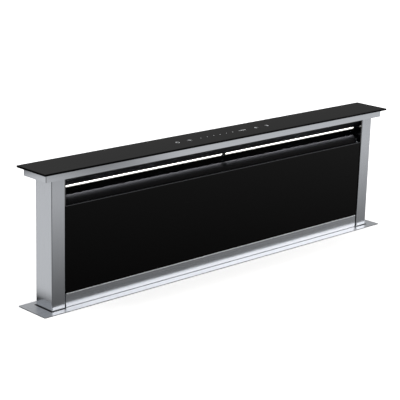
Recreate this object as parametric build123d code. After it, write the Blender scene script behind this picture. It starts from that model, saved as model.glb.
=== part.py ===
"""A retractable worktop extractor, modelled in its raised position.

A wide flat tower rises out of a slot in the worktop behind the hob. A glass top with touch keys
closes the slot when the tower is down. Under the worktop hangs a sheet-metal chassis that takes the
lowered tower, with a spindle drive at each end and the blower on its front.

Millimetres. X runs across the width, -Y is the front and +Z is up. The origin is the middle of the
underside of the flange's gasket, so z = 0 is the surface of the worktop.
"""

import os
from math import cos, hypot, radians, sin

from build123d import *

# Folded sheet and fits
SHEET = 1.2
RUNNING_CLEARANCE = 0.05
BEND_RADIUS = 2.0
EDGE_FOLD_RADIUS = 1.0

# Driving sizes: the glass top, the raised height, the slot and the space in the cabinet
TOP_GLASS_WIDTH = 1203.0
TOWER_DEPTH = 61.3
TOWER_FOOT_Z = -58.0
BAND_BOTTOM_Z = 318.8
PANEL_BOTTOM_Z = 37.1
CHASSIS_HEIGHT = 600.0

# Head: glass top, stainless band and touch keys
GLASS_OVERHANG = 11.5
TOP_GLASS_THICKNESS = 4.7
TOP_GLASS_ARRIS = 0.3
BAND_END_OVERHANG = 24.0
BAND_SIDE_OVERHANG = 11.85
BAND_HEIGHT = 19.0
BAND_SEAM = 0.8
TRAY_LIP = 12.0
BOARD_WIDTH = 290.0
BOARD_DEPTH = 44.0
BOARD_THICKNESS = 1.6
KEY_COUNT = 11
KEY_PITCH = 25.0
KEY_SIZE = 12.0
KEY_SPRING_HEIGHT = 6.0

# Tower
COLUMN_WIDTH = 38.7
PANEL_RECESS = 2.4
PANEL_SIDE_GAP = 3.8
REAR_FOLD = 6.0

# Worktop flange
FLANGE_END_COVER = 9.6
FLANGE_SIDE_COVER = 8.0
FLANGE_THICKNESS = 1.1
FLANGE_CORNER_RADIUS = 4.0
FLANGE_GAP = 1.5
FLANGE_RECESS_GAP = 1.9
GASKET_THICKNESS = 0.8
GASKET_GAP = 1.0
WIPER_THICKNESS = 4.0
WIPER_RIM = 6.0
WIPER_GAP = 0.4
WIPER_RECESS_GAP = 1.7

# Front panel
SLOT_HEIGHT = 68.5
PANEL_GLASS = 5.0
PANEL_FRAME_DEPTH = 8.0
PANEL_FRAME_INSET = 4.0
TRIM_THICKNESS = 1.2
PANEL_PIN_RADIUS = 1.5
PANEL_PIN_REACH = 3.2
PANEL_PIN_RISE = 8.0
PANEL_PIN_SETBACK = 2.25
HINGE_BUSH_RADIUS = 3.0
HINGE_BUSH_LENGTH = 6.0
CATCH_WIDTH = 16.0
CATCH_DEPTH = 7.0
CATCH_HEIGHT = 12.0
STRIP_GAP = 0.8
STRIP_RETURN = 6.0

# Intake slot
CHEEK_THICKNESS = 2.7
CHEEK_SETBACK = 1.15
CHEEK_LIFT = 0.6
LAMP_FRONT_SETBACK = 0.45
LAMP_LIP_DROP = 31.85
LAMP_LIP_SETBACK = 22.6
LAMP_REAR_SETBACK = 34.0
LAMP_WALL = 1.5
DIFFUSER_WIDTH = 7.5
DIFFUSER_THICKNESS = 2.0
DIFFUSER_RISE = 4.8
DIFFUSER_END_GAP = 13.9
DIFFUSER_BREAK = 14.0
LED_BOARD_THICKNESS = 1.0
VANE_THICKNESS = 1.2
VANE_END_GAP = 8.6
VANE_FOOT_SETBACK = 9.2
VANE_FOOT_DROP = 3.3
VANE_BELLY_SETBACK = 13.05
VANE_BELLY_RISE = 9.5
VANE_TOP_SETBACK = 21.65
VANE_TOP_RISE = 19.6
VANE_BOSS_RADIUS = 3.0
VANE_BOSS_INSET = 3.5
VANE_BOSS_DROP = 9.0

# Grease filters
FILTER_COUNT = 3
FILTER_GAP = 4.0
FILTER_END_CLEARANCE = 9.2
FILTER_DROP = 0.2
FILTER_THICKNESS = 9.0
FILTER_MIDDLE_Y = 6.0
FILTER_LEAN = 7.9
FILTER_RIM = 14.0
FILTER_SLOTS = 13
FILTER_SLOT_SHARE = 0.55
FILTER_GRIP = 1.5
FILTER_RAIL_GAP = 0.3
FILTER_SILL_LIP = 5.0

# Tower foot and lift
FOOT_WALL = 8.0
FOOT_HEIGHT = 30.0
LIFT_BAY = 27.0
LIFT_STOP_GAP = 26.0
LOWERED_GAP = 0.9
CARRIAGE_WIDTH = 22.0
CARRIAGE_DEPTH = 56.0
CARRIAGE_HEIGHT = 24.0
NUT_RADIUS = 9.0
SCREW_RADIUS = 6.0
SCREW_Y = 14.0
JOURNAL_RADIUS = 4.0
SCREW_END_PLAY = 0.2
ROD_RADIUS = 5.0
ROD_Y = -14.0
ROD_BUSH_RADIUS = 8.0
BUSH_FLANGE = 1.5
UPPER_BLOCK_TOP_Z = -8.0
UPPER_BLOCK_HEIGHT = 14.0
LOWER_BLOCK_HEIGHT = 16.0
BLOCK_GAP = 1.5
MOTOR_RADIUS = 12.0
MOTOR_LENGTH = 118.0
GEARBOX_LENGTH = 34.0
GEARBOX_GROOVE = 0.8
MOTOR_SOCKET_DEPTH = 14.0
PLUG_SIZE = 9.0

# Chassis
CHASSIS_SIDE_ROOM = 13.35
FIXING_FOOT_INSET = 83.0
FIXING_FOOT_WIDTH = 60.0
FIXING_FOOT_REACH = 42.0
FIXING_FOOT_HEIGHT = 60.0
FIXING_FOOT_THICKNESS = 2.0
FIXING_HOLE_RADIUS = 3.0

# Blower
BLOWER_HEIGHT = 150.0
BLOWER_DEPTH = 100.0
SCROLL_START_RADIUS = 98.0
SCROLL_STEP = 12.0
SCROLL_WALL = 1.5
SCROLL_TONGUE_ANGLE = 35.0
SCROLL_OUTLET_X = 130.0
INLET_RADIUS = 67.5
INLET_HOLE_RADIUS = 74.0
INLET_LIP = 13.0
WHEEL_RADIUS = 85.0
WHEEL_EYE_RADIUS = 74.0
WHEEL_GAP = 6.0
WHEEL_DISC = 1.5
BLADE_COUNT = 36
BLADE_THICKNESS = 1.0
BLADE_SWEEP = 5.0
HUB_RADIUS = 12.0
HUB_LENGTH = 20.0
SHAFT_RADIUS = 4.0
SHAFT_HOLE_RADIUS = 14.0
FAN_MOTOR_RADIUS = 44.0
FAN_MOTOR_LENGTH = 46.0
FAN_MOTOR_FLANGE_RADIUS = 54.0
FAN_MOTOR_FLANGE = 2.5
FAN_MOTOR_FINS = 24
FAN_MOTOR_FIN_HEIGHT = 2.5

# Duct outlet
DUCT_RADIUS = 75.0
DUCT_Y = -124.0
DUCT_DROP = 70.0
DUCT_X = 190.0
OUTLET_BENDS = 8
DUCT_LENGTH = 85.0
DAMPER_PIN_RADIUS = 2.0
DAMPER_PIN_X = 203.0
DAMPER_THICKNESS = 1.0
DAMPER_GAP = 1.2
DAMPER_SLEEVE = 1.6
DAMPER_KNUCKLE = 16.0
DAMPER_KNUCKLE_GAP = 1.0
DAMPER_NOTCH_GAP = 0.5

# Control box
BOX_INSET = 53.0
BOX_WIDTH = 230.0
BOX_TOP_Z = -70.0
BOX_HEIGHT = 130.0
BOX_DEPTH = 52.0
BOX_WALL = 2.0
GLAND_RADIUS = 8.0
GLAND_BORE = 4.0
GLAND_LENGTH = 18.0
GLAND_NUT_ACROSS = 20.0
GLAND_NUT_LENGTH = 6.0

# Outer sizes, each worked out from the one inside or above it
TOP_GLASS_DEPTH = TOWER_DEPTH + 2 * (BAND_SIDE_OVERHANG + GLASS_OVERHANG)
BAND_WIDTH = TOP_GLASS_WIDTH - 2 * GLASS_OVERHANG
BAND_DEPTH = TOWER_DEPTH + 2 * BAND_SIDE_OVERHANG
TOWER_WIDTH = BAND_WIDTH - 2 * BAND_END_OVERHANG
CHASSIS_WIDTH = TOWER_WIDTH + 2 * LIFT_BAY
CHASSIS_DEPTH = TOWER_DEPTH + 2 * CHASSIS_SIDE_ROOM
FLANGE_WIDTH = CHASSIS_WIDTH + 2 * FLANGE_END_COVER
FLANGE_DEPTH = CHASSIS_DEPTH + 2 * FLANGE_SIDE_COVER

# Places worked out from the sizes above
TOWER_HALF = TOWER_WIDTH / 2
COLUMN_INNER = TOWER_HALF - COLUMN_WIDTH
TOWER_FRONT = -TOWER_DEPTH / 2
PANEL_TOP_Z = BAND_BOTTOM_Z - SLOT_HEIGHT
PANEL_HALF = COLUMN_INNER - PANEL_SIDE_GAP
PANEL_FACE = TOWER_FRONT + PANEL_RECESS
PANEL_BACK = PANEL_FACE + PANEL_GLASS
PANEL_FRAME_BACK = PANEL_BACK + PANEL_FRAME_DEPTH
STRIP_BACK = PANEL_FACE + SHEET
REAR_FACE = -PANEL_FACE
REAR_INNER = REAR_FACE - SHEET
BAND_TOP_Z = BAND_BOTTOM_Z + BAND_HEIGHT
TOP_Z = BAND_TOP_Z + TOP_GLASS_THICKNESS
CHEEK_FACE = COLUMN_INNER - CHEEK_THICKNESS
CHEEK_FOOT_Z = PANEL_TOP_Z + CHEEK_LIFT
LAMP_LIP_Z = BAND_BOTTOM_Z - LAMP_LIP_DROP
DIFFUSER_END = CHEEK_FACE - DIFFUSER_END_GAP
VANE_END = CHEEK_FACE - VANE_END_GAP
VANE_FOOT_Z = PANEL_TOP_Z - VANE_FOOT_DROP
VANE_BELLY_Z = PANEL_TOP_Z + VANE_BELLY_RISE
VANE_TOP_Z = PANEL_TOP_Z + VANE_TOP_RISE
FILTER_LENGTH = PANEL_TOP_Z - PANEL_BOTTOM_Z - FILTER_END_CLEARANCE
FILTER_MIDDLE_Z = (PANEL_TOP_Z + PANEL_BOTTOM_Z) / 2 - FILTER_DROP
PIN_Y = PANEL_FACE + PANEL_PIN_SETBACK
PIN_Z = PANEL_BOTTOM_Z + PANEL_PIN_RISE
CARRIAGE_X = TOWER_HALF + CARRIAGE_WIDTH / 2
CARRIAGE_TOP_Z = TOWER_FOOT_Z + CARRIAGE_HEIGHT
FOOT_TOP_Z = TOWER_FOOT_Z + FOOT_HEIGHT
LIFT_TRAVEL = BAND_BOTTOM_Z - GASKET_THICKNESS - FLANGE_THICKNESS - LOWERED_GAP
CHASSIS_HALF = CHASSIS_WIDTH / 2
CHASSIS_INNER = CHASSIS_HALF - SHEET
CHASSIS_FACE = -CHASSIS_DEPTH / 2
FIXING_FOOT_X = CHASSIS_HALF - FIXING_FOOT_INSET
BOX_LEFT_X = BOX_INSET - CHASSIS_HALF
UPPER_BLOCK_BOTTOM_Z = UPPER_BLOCK_TOP_Z - UPPER_BLOCK_HEIGHT
LOWER_BLOCK_TOP_Z = TOWER_FOOT_Z - LIFT_TRAVEL - LIFT_STOP_GAP
LOWER_BLOCK_BOTTOM_Z = LOWER_BLOCK_TOP_Z - LOWER_BLOCK_HEIGHT
BLOWER_Z = BLOWER_HEIGHT - CHASSIS_HEIGHT
DUCT_Z = BLOWER_Z - DUCT_DROP
SCROLL_BACK = CHASSIS_FACE - SCROLL_WALL
SCROLL_FRONT = CHASSIS_FACE - BLOWER_DEPTH
WHEEL_BACK = SCROLL_BACK - INLET_LIP + SCROLL_WALL
WHEEL_FRONT = SCROLL_FRONT + SCROLL_WALL + WHEEL_GAP


def block(x0, x1, y0, y1, z0, z1):
    """A box between two values on each axis."""
    middle = ((x0 + x1) / 2, (y0 + y1) / 2, (z0 + z1) / 2)
    return Pos(*middle) * Box(abs(x1 - x0), abs(y1 - y0), abs(z1 - z0))


def upright(radius, x, y, z0, z1):
    """A round bar that stands along Z."""
    return Pos(x, y, (z0 + z1) / 2) * Cylinder(radius, abs(z1 - z0))


def along_x(radius, y, z, x0, x1):
    """A round bar that lies along X."""
    return Pos((x0 + x1) / 2, y, z) * Rot(0, 90, 0) * Cylinder(radius, abs(x1 - x0))


def along_y(radius, x, z, y0, y1):
    """A round bar that lies along Y."""
    return Pos(x, (y0 + y1) / 2, z) * Rot(90, 0, 0) * Cylinder(radius, abs(y1 - y0))


def bar(outline, x0, x1):
    """A Y-Z outline run along X from x0 to x1."""
    return extrude(Plane.YZ.offset(x0) * outline, amount=x1 - x0, dir=(1, 0, 0))


def outline(*points):
    """A closed face through straight edges."""
    return make_face(Polyline(*points, close=True))


def group(solids):
    """Several separate solids that share one node."""
    return Compound(children=[s for piece in solids for s in piece.solids()])


def pair(name, right):
    """A right-hand piece and its mirror image on the left."""
    return {f"{name}_right": right, f"{name}_left": mirror(right, about=Plane.YZ)}


def both_sides(right):
    """Right-hand solids and their mirror images, as one group."""
    return group(right + [mirror(piece, about=Plane.YZ) for piece in right])


def tower_opening(gap, recess_gap):
    """The outline round the tower: one gap all round, another along the recessed front."""
    opening = Rectangle(TOWER_WIDTH + 2 * gap, TOWER_DEPTH + 2 * gap)
    front, back = TOWER_FRONT - gap, PANEL_FACE - recess_gap
    return opening - Pos(0, (front + back) / 2) * Rectangle(2 * (COLUMN_INNER - gap), back - front)


def worktop_flange():
    """The stainless frame round the tower, and the gasket that it rests on the worktop with."""
    rim = RectangleRounded(FLANGE_WIDTH, FLANGE_DEPTH, FLANGE_CORNER_RADIUS)
    opening = tower_opening(FLANGE_GAP, FLANGE_RECESS_GAP)
    plate = extrude(Pos(0, 0, GASKET_THICKNESS) * (rim - opening), FLANGE_THICKNESS, dir=(0, 0, 1))
    cut_out = Rectangle(CHASSIS_WIDTH + 2 * GASKET_GAP, CHASSIS_DEPTH + 2 * GASKET_GAP)
    gasket = extrude(rim - cut_out, GASKET_THICKNESS, dir=(0, 0, 1))
    return {"worktop_flange": plate, "flange_gasket": gasket}


def wiper_seal():
    """The rubber frame under the flange that wipes the tower."""
    rim = 2 * (WIPER_GAP + WIPER_RIM)
    frame = Rectangle(TOWER_WIDTH + rim, TOWER_DEPTH + rim)
    frame -= tower_opening(WIPER_GAP, WIPER_RECESS_GAP)
    foot = GASKET_THICKNESS - WIPER_THICKNESS
    return extrude(Pos(0, 0, foot) * frame, WIPER_THICKNESS, dir=(0, 0, 1))


def head():
    """Glass top, stainless band and the tray that carries both on the columns."""
    half_x, half_y = BAND_WIDTH / 2, BAND_DEPTH / 2
    in_x, in_y = half_x - SHEET, half_y - SHEET
    tray = block(-in_x, in_x, -in_y, in_y, BAND_BOTTOM_Z, BAND_TOP_Z)
    tray -= block(
        SHEET - in_x, in_x - SHEET, SHEET - in_y, in_y - SHEET,
        BAND_BOTTOM_Z + SHEET, BAND_TOP_Z - SHEET,
    )
    tray -= block(
        TRAY_LIP - in_x, in_x - TRAY_LIP, TRAY_LIP - in_y, in_y - TRAY_LIP,
        BAND_TOP_Z - 2 * SHEET, BAND_TOP_Z + SHEET,
    )
    glass = block(
        -TOP_GLASS_WIDTH / 2, TOP_GLASS_WIDTH / 2, -TOP_GLASS_DEPTH / 2, TOP_GLASS_DEPTH / 2,
        BAND_TOP_Z, TOP_Z,
    )
    glass = chamfer(glass.faces().sort_by(Axis.Z)[-1].edges(), TOP_GLASS_ARRIS)
    front = block(-half_x, half_x, -half_y, -in_y, BAND_BOTTOM_Z, BAND_TOP_Z)
    front = fillet(front.edges().filter_by(Axis.Z).group_by(Axis.Y)[0], EDGE_FOLD_RADIUS)
    end_y = in_y - BAND_SEAM
    return {
        "glass_top": glass,
        "head_tray": tray,
        "band_front": front,
        "band_rear": mirror(front, about=Plane.XZ),
        **pair("band_end", block(in_x, half_x, -end_y, end_y, BAND_BOTTOM_Z, BAND_TOP_Z)),
        "touch_key_board": touch_key_board(),
    }


def touch_key_board():
    """The circuit board with one sprung sensor under each key of the glass top."""
    board_top = BAND_TOP_Z - KEY_SPRING_HEIGHT
    board = block(
        -BOARD_WIDTH / 2, BOARD_WIDTH / 2, -BOARD_DEPTH / 2, BOARD_DEPTH / 2,
        board_top - BOARD_THICKNESS, board_top,
    )
    half = KEY_SIZE / 2
    for n in range(KEY_COUNT):
        x = (n - (KEY_COUNT - 1) / 2) * KEY_PITCH
        board += block(x - half, x + half, -half, half, board_top, BAND_TOP_Z)
    for x in (half - BOARD_WIDTH / 2, BOARD_WIDTH / 2 - half):
        board += upright(half / 2, x, 0, BAND_BOTTOM_Z + SHEET, board_top - BOARD_THICKNESS)
    return board


def side_column():
    """The right-hand column, a folded sheet tube."""
    x = TOWER_HALF - COLUMN_WIDTH / 2
    length = BAND_BOTTOM_Z - TOWER_FOOT_Z
    tube = RectangleRounded(COLUMN_WIDTH, TOWER_DEPTH, BEND_RADIUS)
    tube -= RectangleRounded(COLUMN_WIDTH - 2 * SHEET, TOWER_DEPTH - 2 * SHEET, BEND_RADIUS - SHEET)
    column = extrude(Pos(x, 0, TOWER_FOOT_Z) * tube, length, dir=(0, 0, 1))
    return column - along_x(HINGE_BUSH_RADIUS, PIN_Y, PIN_Z, COLUMN_INNER - 1, COLUMN_INNER + 2)


def rear_panel():
    """The sheet that closes the back of the tower, with its sides and top folded inwards."""
    half = COLUMN_INNER
    sheet = block(-half, half, REAR_INNER, REAR_FACE, TOWER_FOOT_Z, BAND_BOTTOM_Z)
    fold = REAR_INNER - REAR_FOLD
    for side in (-1, 1):
        edge = side * half
        sheet += block(edge, edge - side * SHEET, fold, REAR_INNER, FOOT_TOP_Z, BAND_BOTTOM_Z)
    return sheet + block(-half, half, fold, REAR_INNER, BAND_BOTTOM_Z - SHEET, BAND_BOTTOM_Z)


def lamp_plane():
    """The sloping face of the lamp housing: X along the slot, Y up the slope, Z outwards."""
    lip = (TOWER_FRONT + LAMP_LIP_SETBACK, LAMP_LIP_Z)
    top = (TOWER_FRONT + LAMP_FRONT_SETBACK, BAND_BOTTOM_Z)
    run, rise = top[0] - lip[0], top[1] - lip[1]
    length = hypot(run, rise)
    outwards = (0, -rise / length, run / length)
    middle = DIFFUSER_RISE / length
    return Plane(
        origin=(0, lip[0] + run * middle, lip[1] + rise * middle), x_dir=(1, 0, 0), z_dir=outwards
    )


def lamps():
    """The housing across the head of the slot, with two lit strips in its sloping face."""
    front, lip = TOWER_FRONT + LAMP_FRONT_SETBACK, TOWER_FRONT + LAMP_LIP_SETBACK
    rear = TOWER_FRONT + LAMP_REAR_SETBACK
    outer = outline((front, BAND_BOTTOM_Z), (lip, LAMP_LIP_Z), (rear, LAMP_LIP_Z), (rear, BAND_BOTTOM_Z))
    inner = offset(outer, -LAMP_WALL, kind=Kind.INTERSECTION)
    inner_end = CHEEK_FACE - LAMP_WALL
    housing = bar(outer, -CHEEK_FACE, CHEEK_FACE) - bar(inner, -inner_end, inner_end)
    face = lamp_plane()
    length = DIFFUSER_END - DIFFUSER_BREAK / 2
    middle = (DIFFUSER_END + DIFFUSER_BREAK / 2) / 2
    diffusers, boards = {}, []
    for name, side in (("left", -1), ("right", 1)):
        place = face * Pos(side * middle, 0, -DIFFUSER_THICKNESS / 2)
        diffuser = place * Box(length, DIFFUSER_WIDTH, DIFFUSER_THICKNESS)
        housing -= face * Pos(side * middle, 0, -LAMP_WALL) * Box(length, DIFFUSER_WIDTH, 4 * LAMP_WALL)
        diffusers[f"lamp_diffuser_{name}"] = diffuser
        behind = -DIFFUSER_THICKNESS - LED_BOARD_THICKNESS / 2
        boards.append(
            face * Pos(side * middle, 0, behind) * Box(length, DIFFUSER_WIDTH, LED_BOARD_THICKNESS)
        )
    return {"lamp_housing": housing, "led_boards": group(boards), **diffusers}


def slot_cheek():
    """The glossy plate that closes the right-hand end of the slot."""
    back = REAR_INNER - REAR_FOLD
    return block(
        CHEEK_FACE, COLUMN_INNER, TOWER_FRONT + CHEEK_SETBACK, back, CHEEK_FOOT_Z, BAND_BOTTOM_Z
    )


def air_guide_vane():
    """The curved lip over the front panel that turns the air down into the tower."""
    foot = Vector(TOWER_FRONT + VANE_FOOT_SETBACK, VANE_FOOT_Z)
    belly = Vector(TOWER_FRONT + VANE_BELLY_SETBACK, VANE_BELLY_Z)
    top = Vector(TOWER_FRONT + VANE_TOP_SETBACK, VANE_TOP_Z)
    inwards = Vector(VANE_THICKNESS, -VANE_THICKNESS) / hypot(1, 1)
    across = Vector(0, -VANE_THICKNESS)
    lip = Vector(VANE_THICKNESS, 0)
    front = ThreePointArc(foot, belly, top)
    back = ThreePointArc(top + across, belly + inwards, foot + lip)
    profile = make_face([front, Line(top, top + across), back, Line(foot + lip, foot)])
    vane = bar(profile, -VANE_END, VANE_END)
    web = make_face([front, Line(top, Vector(top.X, foot.Y)), Line(Vector(top.X, foot.Y), foot)])
    boss_y, boss_z = top.X - VANE_BOSS_INSET, top.Y - VANE_BOSS_DROP
    for side in (-1, 1):
        end = side * VANE_END
        inner = end - side * VANE_THICKNESS
        vane += bar(web, min(end, inner), max(end, inner))
        vane += along_x(VANE_BOSS_RADIUS, boss_y, boss_z, end, side * CHEEK_FACE)
    return vane


def front_panel():
    """The black glass door of the filter bay, with its frame, pins and top trim."""
    glass_top = PANEL_TOP_Z - TRIM_THICKNESS
    glass = block(-PANEL_HALF, PANEL_HALF, PANEL_FACE, PANEL_BACK, PANEL_BOTTOM_Z, glass_top)
    frame_half = PANEL_HALF - PANEL_FRAME_INSET
    low, high = PANEL_BOTTOM_Z + PANEL_FRAME_INSET, glass_top - PANEL_FRAME_INSET
    frame = block(-frame_half, frame_half, PANEL_BACK, PANEL_FRAME_BACK, low, high)
    frame -= block(
        SHEET - frame_half, frame_half - SHEET, PANEL_BACK + SHEET, PANEL_FRAME_BACK + SHEET,
        low + SHEET, high - SHEET,
    )
    pin_end = COLUMN_INNER + PANEL_PIN_REACH
    arm = 4 * PANEL_PIN_RADIUS
    for side in (-1, 1):
        frame += block(
            side * frame_half, side * (PANEL_HALF + SHEET), PANEL_BACK, PANEL_BACK + arm,
            PIN_Z - arm / 2, PIN_Z + arm / 2,
        )
        frame += block(
            side * PANEL_HALF, side * (PANEL_HALF + SHEET), PIN_Y - PANEL_PIN_RADIUS,
            PANEL_BACK + arm, PIN_Z - arm / 2, PIN_Z + arm / 2,
        )
        frame += along_x(PANEL_PIN_RADIUS, PIN_Y, PIN_Z, side * PANEL_HALF, side * pin_end)
    trim_back = PANEL_BACK + TRIM_THICKNESS
    trim = block(-PANEL_HALF, PANEL_HALF, PANEL_FACE, trim_back, glass_top, PANEL_TOP_Z)
    trim += block(
        -PANEL_HALF, PANEL_HALF, PANEL_BACK, trim_back, glass_top - PANEL_FRAME_INSET, glass_top
    )
    return {"front_glass": glass, "panel_frame": frame, "panel_top_trim": trim}


def hinge_bushes():
    """The plastic bushes in the columns that carry the panel's pins."""
    bushes = []
    for side in (-1, 1):
        start = side * (COLUMN_INNER - SHEET)
        end = start + side * HINGE_BUSH_LENGTH
        ring = along_x(HINGE_BUSH_RADIUS, PIN_Y, PIN_Z, start, end)
        bore = along_x(PANEL_PIN_RADIUS + RUNNING_CLEARANCE, PIN_Y, PIN_Z, start - side, end + side)
        bushes.append(ring - bore)
    return group(bushes)


def panel_catches():
    """The two magnetic catches that hold the panel shut."""
    catches = []
    for side in (-1, 1):
        outer = side * COLUMN_INNER
        catches.append(
            block(
                outer, outer - side * CATCH_WIDTH, PANEL_FRAME_BACK + FILTER_RAIL_GAP,
                PANEL_FRAME_BACK + FILTER_RAIL_GAP + CATCH_DEPTH,
                PANEL_TOP_Z - 2 * CATCH_HEIGHT, PANEL_TOP_Z - CATCH_HEIGHT,
            )
        )
    return group(catches)


def front_strip():
    """The stainless pan below the panel, folded back at its top edge and at its ends."""
    top = PANEL_BOTTOM_Z - STRIP_GAP
    back = STRIP_BACK + STRIP_RETURN
    strip = block(-PANEL_HALF, PANEL_HALF, PANEL_FACE, STRIP_BACK, TOWER_FOOT_Z, top)
    strip += block(-PANEL_HALF, PANEL_HALF, STRIP_BACK, back, top - SHEET, top)
    for side in (-1, 1):
        end = side * PANEL_HALF
        strip += block(end, end - side * SHEET, STRIP_BACK, back, FOOT_TOP_Z, top)
    folds = strip.edges().filter_by(Axis.Z).filter_by_position(Axis.Y, PANEL_FACE, PANEL_FACE)
    folds += strip.edges().filter_by(Axis.X).group_by(Axis.Z)[-1].sort_by(Axis.Y)[:1]
    return fillet(folds, EDGE_FOLD_RADIUS)


def filter_width():
    """The width of one filter cassette."""
    return (2 * CHEEK_FACE - (FILTER_COUNT + 1) * FILTER_GAP) / FILTER_COUNT


def filter_plane():
    """The leaning mid-plane of the filters: X across, Y up the filter, Z to the front."""
    lean = radians(FILTER_LEAN)
    return Plane(
        origin=(0, FILTER_MIDDLE_Y, FILTER_MIDDLE_Z), x_dir=(1, 0, 0),
        z_dir=(0, -cos(lean), sin(lean)),
    )


def grease_filter(n):
    """One cassette: a rim round a slotted core."""
    width = filter_width()
    core_width, core_length = width - 2 * FILTER_RIM, FILTER_LENGTH - 2 * FILTER_RIM
    rim = Box(width, FILTER_LENGTH, FILTER_THICKNESS) - Box(core_width, core_length, FILTER_THICKNESS)
    core = Box(core_width, core_length, FILTER_THICKNESS / 2)
    pitch = core_width / FILTER_SLOTS
    slot = Box(pitch * FILTER_SLOT_SHARE, core_length - 2 * FILTER_RIM, FILTER_THICKNESS)
    for k in range(FILTER_SLOTS):
        core -= Pos((k - (FILTER_SLOTS - 1) / 2) * pitch, 0, 0) * slot
    grip = Box(4 * FILTER_RIM, FILTER_GRIP, 2 * FILTER_GRIP)
    grip = Pos(0, FILTER_LENGTH / 2 - FILTER_RIM / 2, FILTER_THICKNESS / 2) * grip
    x = (n - (FILTER_COUNT - 1) / 2) * (width + FILTER_GAP)
    return filter_plane() * Pos(x, 0, 0) * (rim + core + grip)


def filter_rails():
    """The sill that stands on the foot frame under the filters, and the rail above them."""
    lean = radians(FILTER_LEAN)
    reach_y = FILTER_LENGTH / 2 * sin(lean)
    reach_z = FILTER_LENGTH / 2 * cos(lean) + FILTER_THICKNESS / 2 * sin(lean) + FILTER_RAIL_GAP
    half_thick = FILTER_THICKNESS / 2 * cos(lean) + FILTER_RAIL_GAP
    low, high = FILTER_MIDDLE_Z - reach_z, FILTER_MIDDLE_Z + reach_z
    front, back = FILTER_MIDDLE_Y - reach_y - half_thick, FILTER_MIDDLE_Y - reach_y + half_thick
    half = COLUMN_INNER
    sill = block(-half, half, front, back, low - SHEET, low)
    sill += block(-half, half, front - SHEET, front, FOOT_TOP_Z, low + FILTER_SILL_LIP)
    rail_front = FILTER_MIDDLE_Y + reach_y - half_thick
    rail = block(SHEET - half, half - SHEET, rail_front, REAR_INNER, high, high + SHEET)
    return group([sill, rail])


def foot_frame():
    """The open frame that ties the tower's foot together."""
    half, wall = COLUMN_INNER, FOOT_WALL
    outer = block(-half, half, STRIP_BACK, REAR_INNER, TOWER_FOOT_Z, FOOT_TOP_Z)
    return outer - block(
        wall - half, half - wall, STRIP_BACK + wall, REAR_INNER - wall,
        TOWER_FOOT_Z - 1, FOOT_TOP_Z + 1,
    )


def lift_carriage():
    """The right-hand block that hangs the tower on its spindle nut and guide rod."""
    body = block(
        TOWER_HALF, TOWER_HALF + CARRIAGE_WIDTH, -CARRIAGE_DEPTH / 2, CARRIAGE_DEPTH / 2,
        TOWER_FOOT_Z, CARRIAGE_TOP_Z,
    )
    body -= upright(NUT_RADIUS, CARRIAGE_X, SCREW_Y, TOWER_FOOT_Z - 1, CARRIAGE_TOP_Z + 1)
    return body - upright(ROD_BUSH_RADIUS, CARRIAGE_X, ROD_Y, TOWER_FOOT_Z - 1, CARRIAGE_TOP_Z + 1)


def carriage_lining(radius, bore, y):
    """A nut or bush through the right-hand carriage, with a collar on its top."""
    lining = upright(radius, CARRIAGE_X, y, TOWER_FOOT_Z, CARRIAGE_TOP_Z)
    lining += upright(radius + BUSH_FLANGE, CARRIAGE_X, y, CARRIAGE_TOP_Z, CARRIAGE_TOP_Z + BUSH_FLANGE)
    return lining - upright(bore, CARRIAGE_X, y, TOWER_FOOT_Z - 1, CARRIAGE_TOP_Z + 2 * BUSH_FLANGE)


def lead_screw():
    """The right-hand spindle, with a turned journal at each end."""
    low, high = LOWER_BLOCK_TOP_Z + SCREW_END_PLAY, UPPER_BLOCK_BOTTOM_Z - SCREW_END_PLAY
    screw = upright(SCREW_RADIUS, CARRIAGE_X, SCREW_Y, low, high)
    journal_foot = LOWER_BLOCK_BOTTOM_Z - MOTOR_SOCKET_DEPTH + SCREW_END_PLAY
    return screw + upright(JOURNAL_RADIUS, CARRIAGE_X, SCREW_Y, journal_foot, UPPER_BLOCK_TOP_Z)


def bearing_block(z0, z1):
    """A block on the right-hand chassis side that carries one end of the rod and spindle."""
    body = block(
        TOWER_HALF + BLOCK_GAP, CHASSIS_INNER, -CARRIAGE_DEPTH / 2, CARRIAGE_DEPTH / 2, z0, z1
    )
    bore = JOURNAL_RADIUS + RUNNING_CLEARANCE
    return body - upright(bore, CARRIAGE_X, SCREW_Y, z0 - 1, z1 + 1)


def drive_motor():
    """The right-hand tube motor with its gearbox, socketed for the spindle, and its plug."""
    top = LOWER_BLOCK_BOTTOM_Z
    seam = top - GEARBOX_LENGTH
    motor = upright(MOTOR_RADIUS, CARRIAGE_X, SCREW_Y, seam, top)
    motor += upright(MOTOR_RADIUS - GEARBOX_GROOVE, CARRIAGE_X, SCREW_Y, top - MOTOR_LENGTH, seam)
    end = top - MOTOR_LENGTH
    motor += block(
        CARRIAGE_X - PLUG_SIZE / 2, CARRIAGE_X + PLUG_SIZE / 2, SCREW_Y - PLUG_SIZE / 2,
        SCREW_Y + PLUG_SIZE / 2, end - PLUG_SIZE, end,
    )
    socket = JOURNAL_RADIUS + RUNNING_CLEARANCE
    return motor - upright(socket, CARRIAGE_X, SCREW_Y, top - MOTOR_SOCKET_DEPTH, top + 1)


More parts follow.
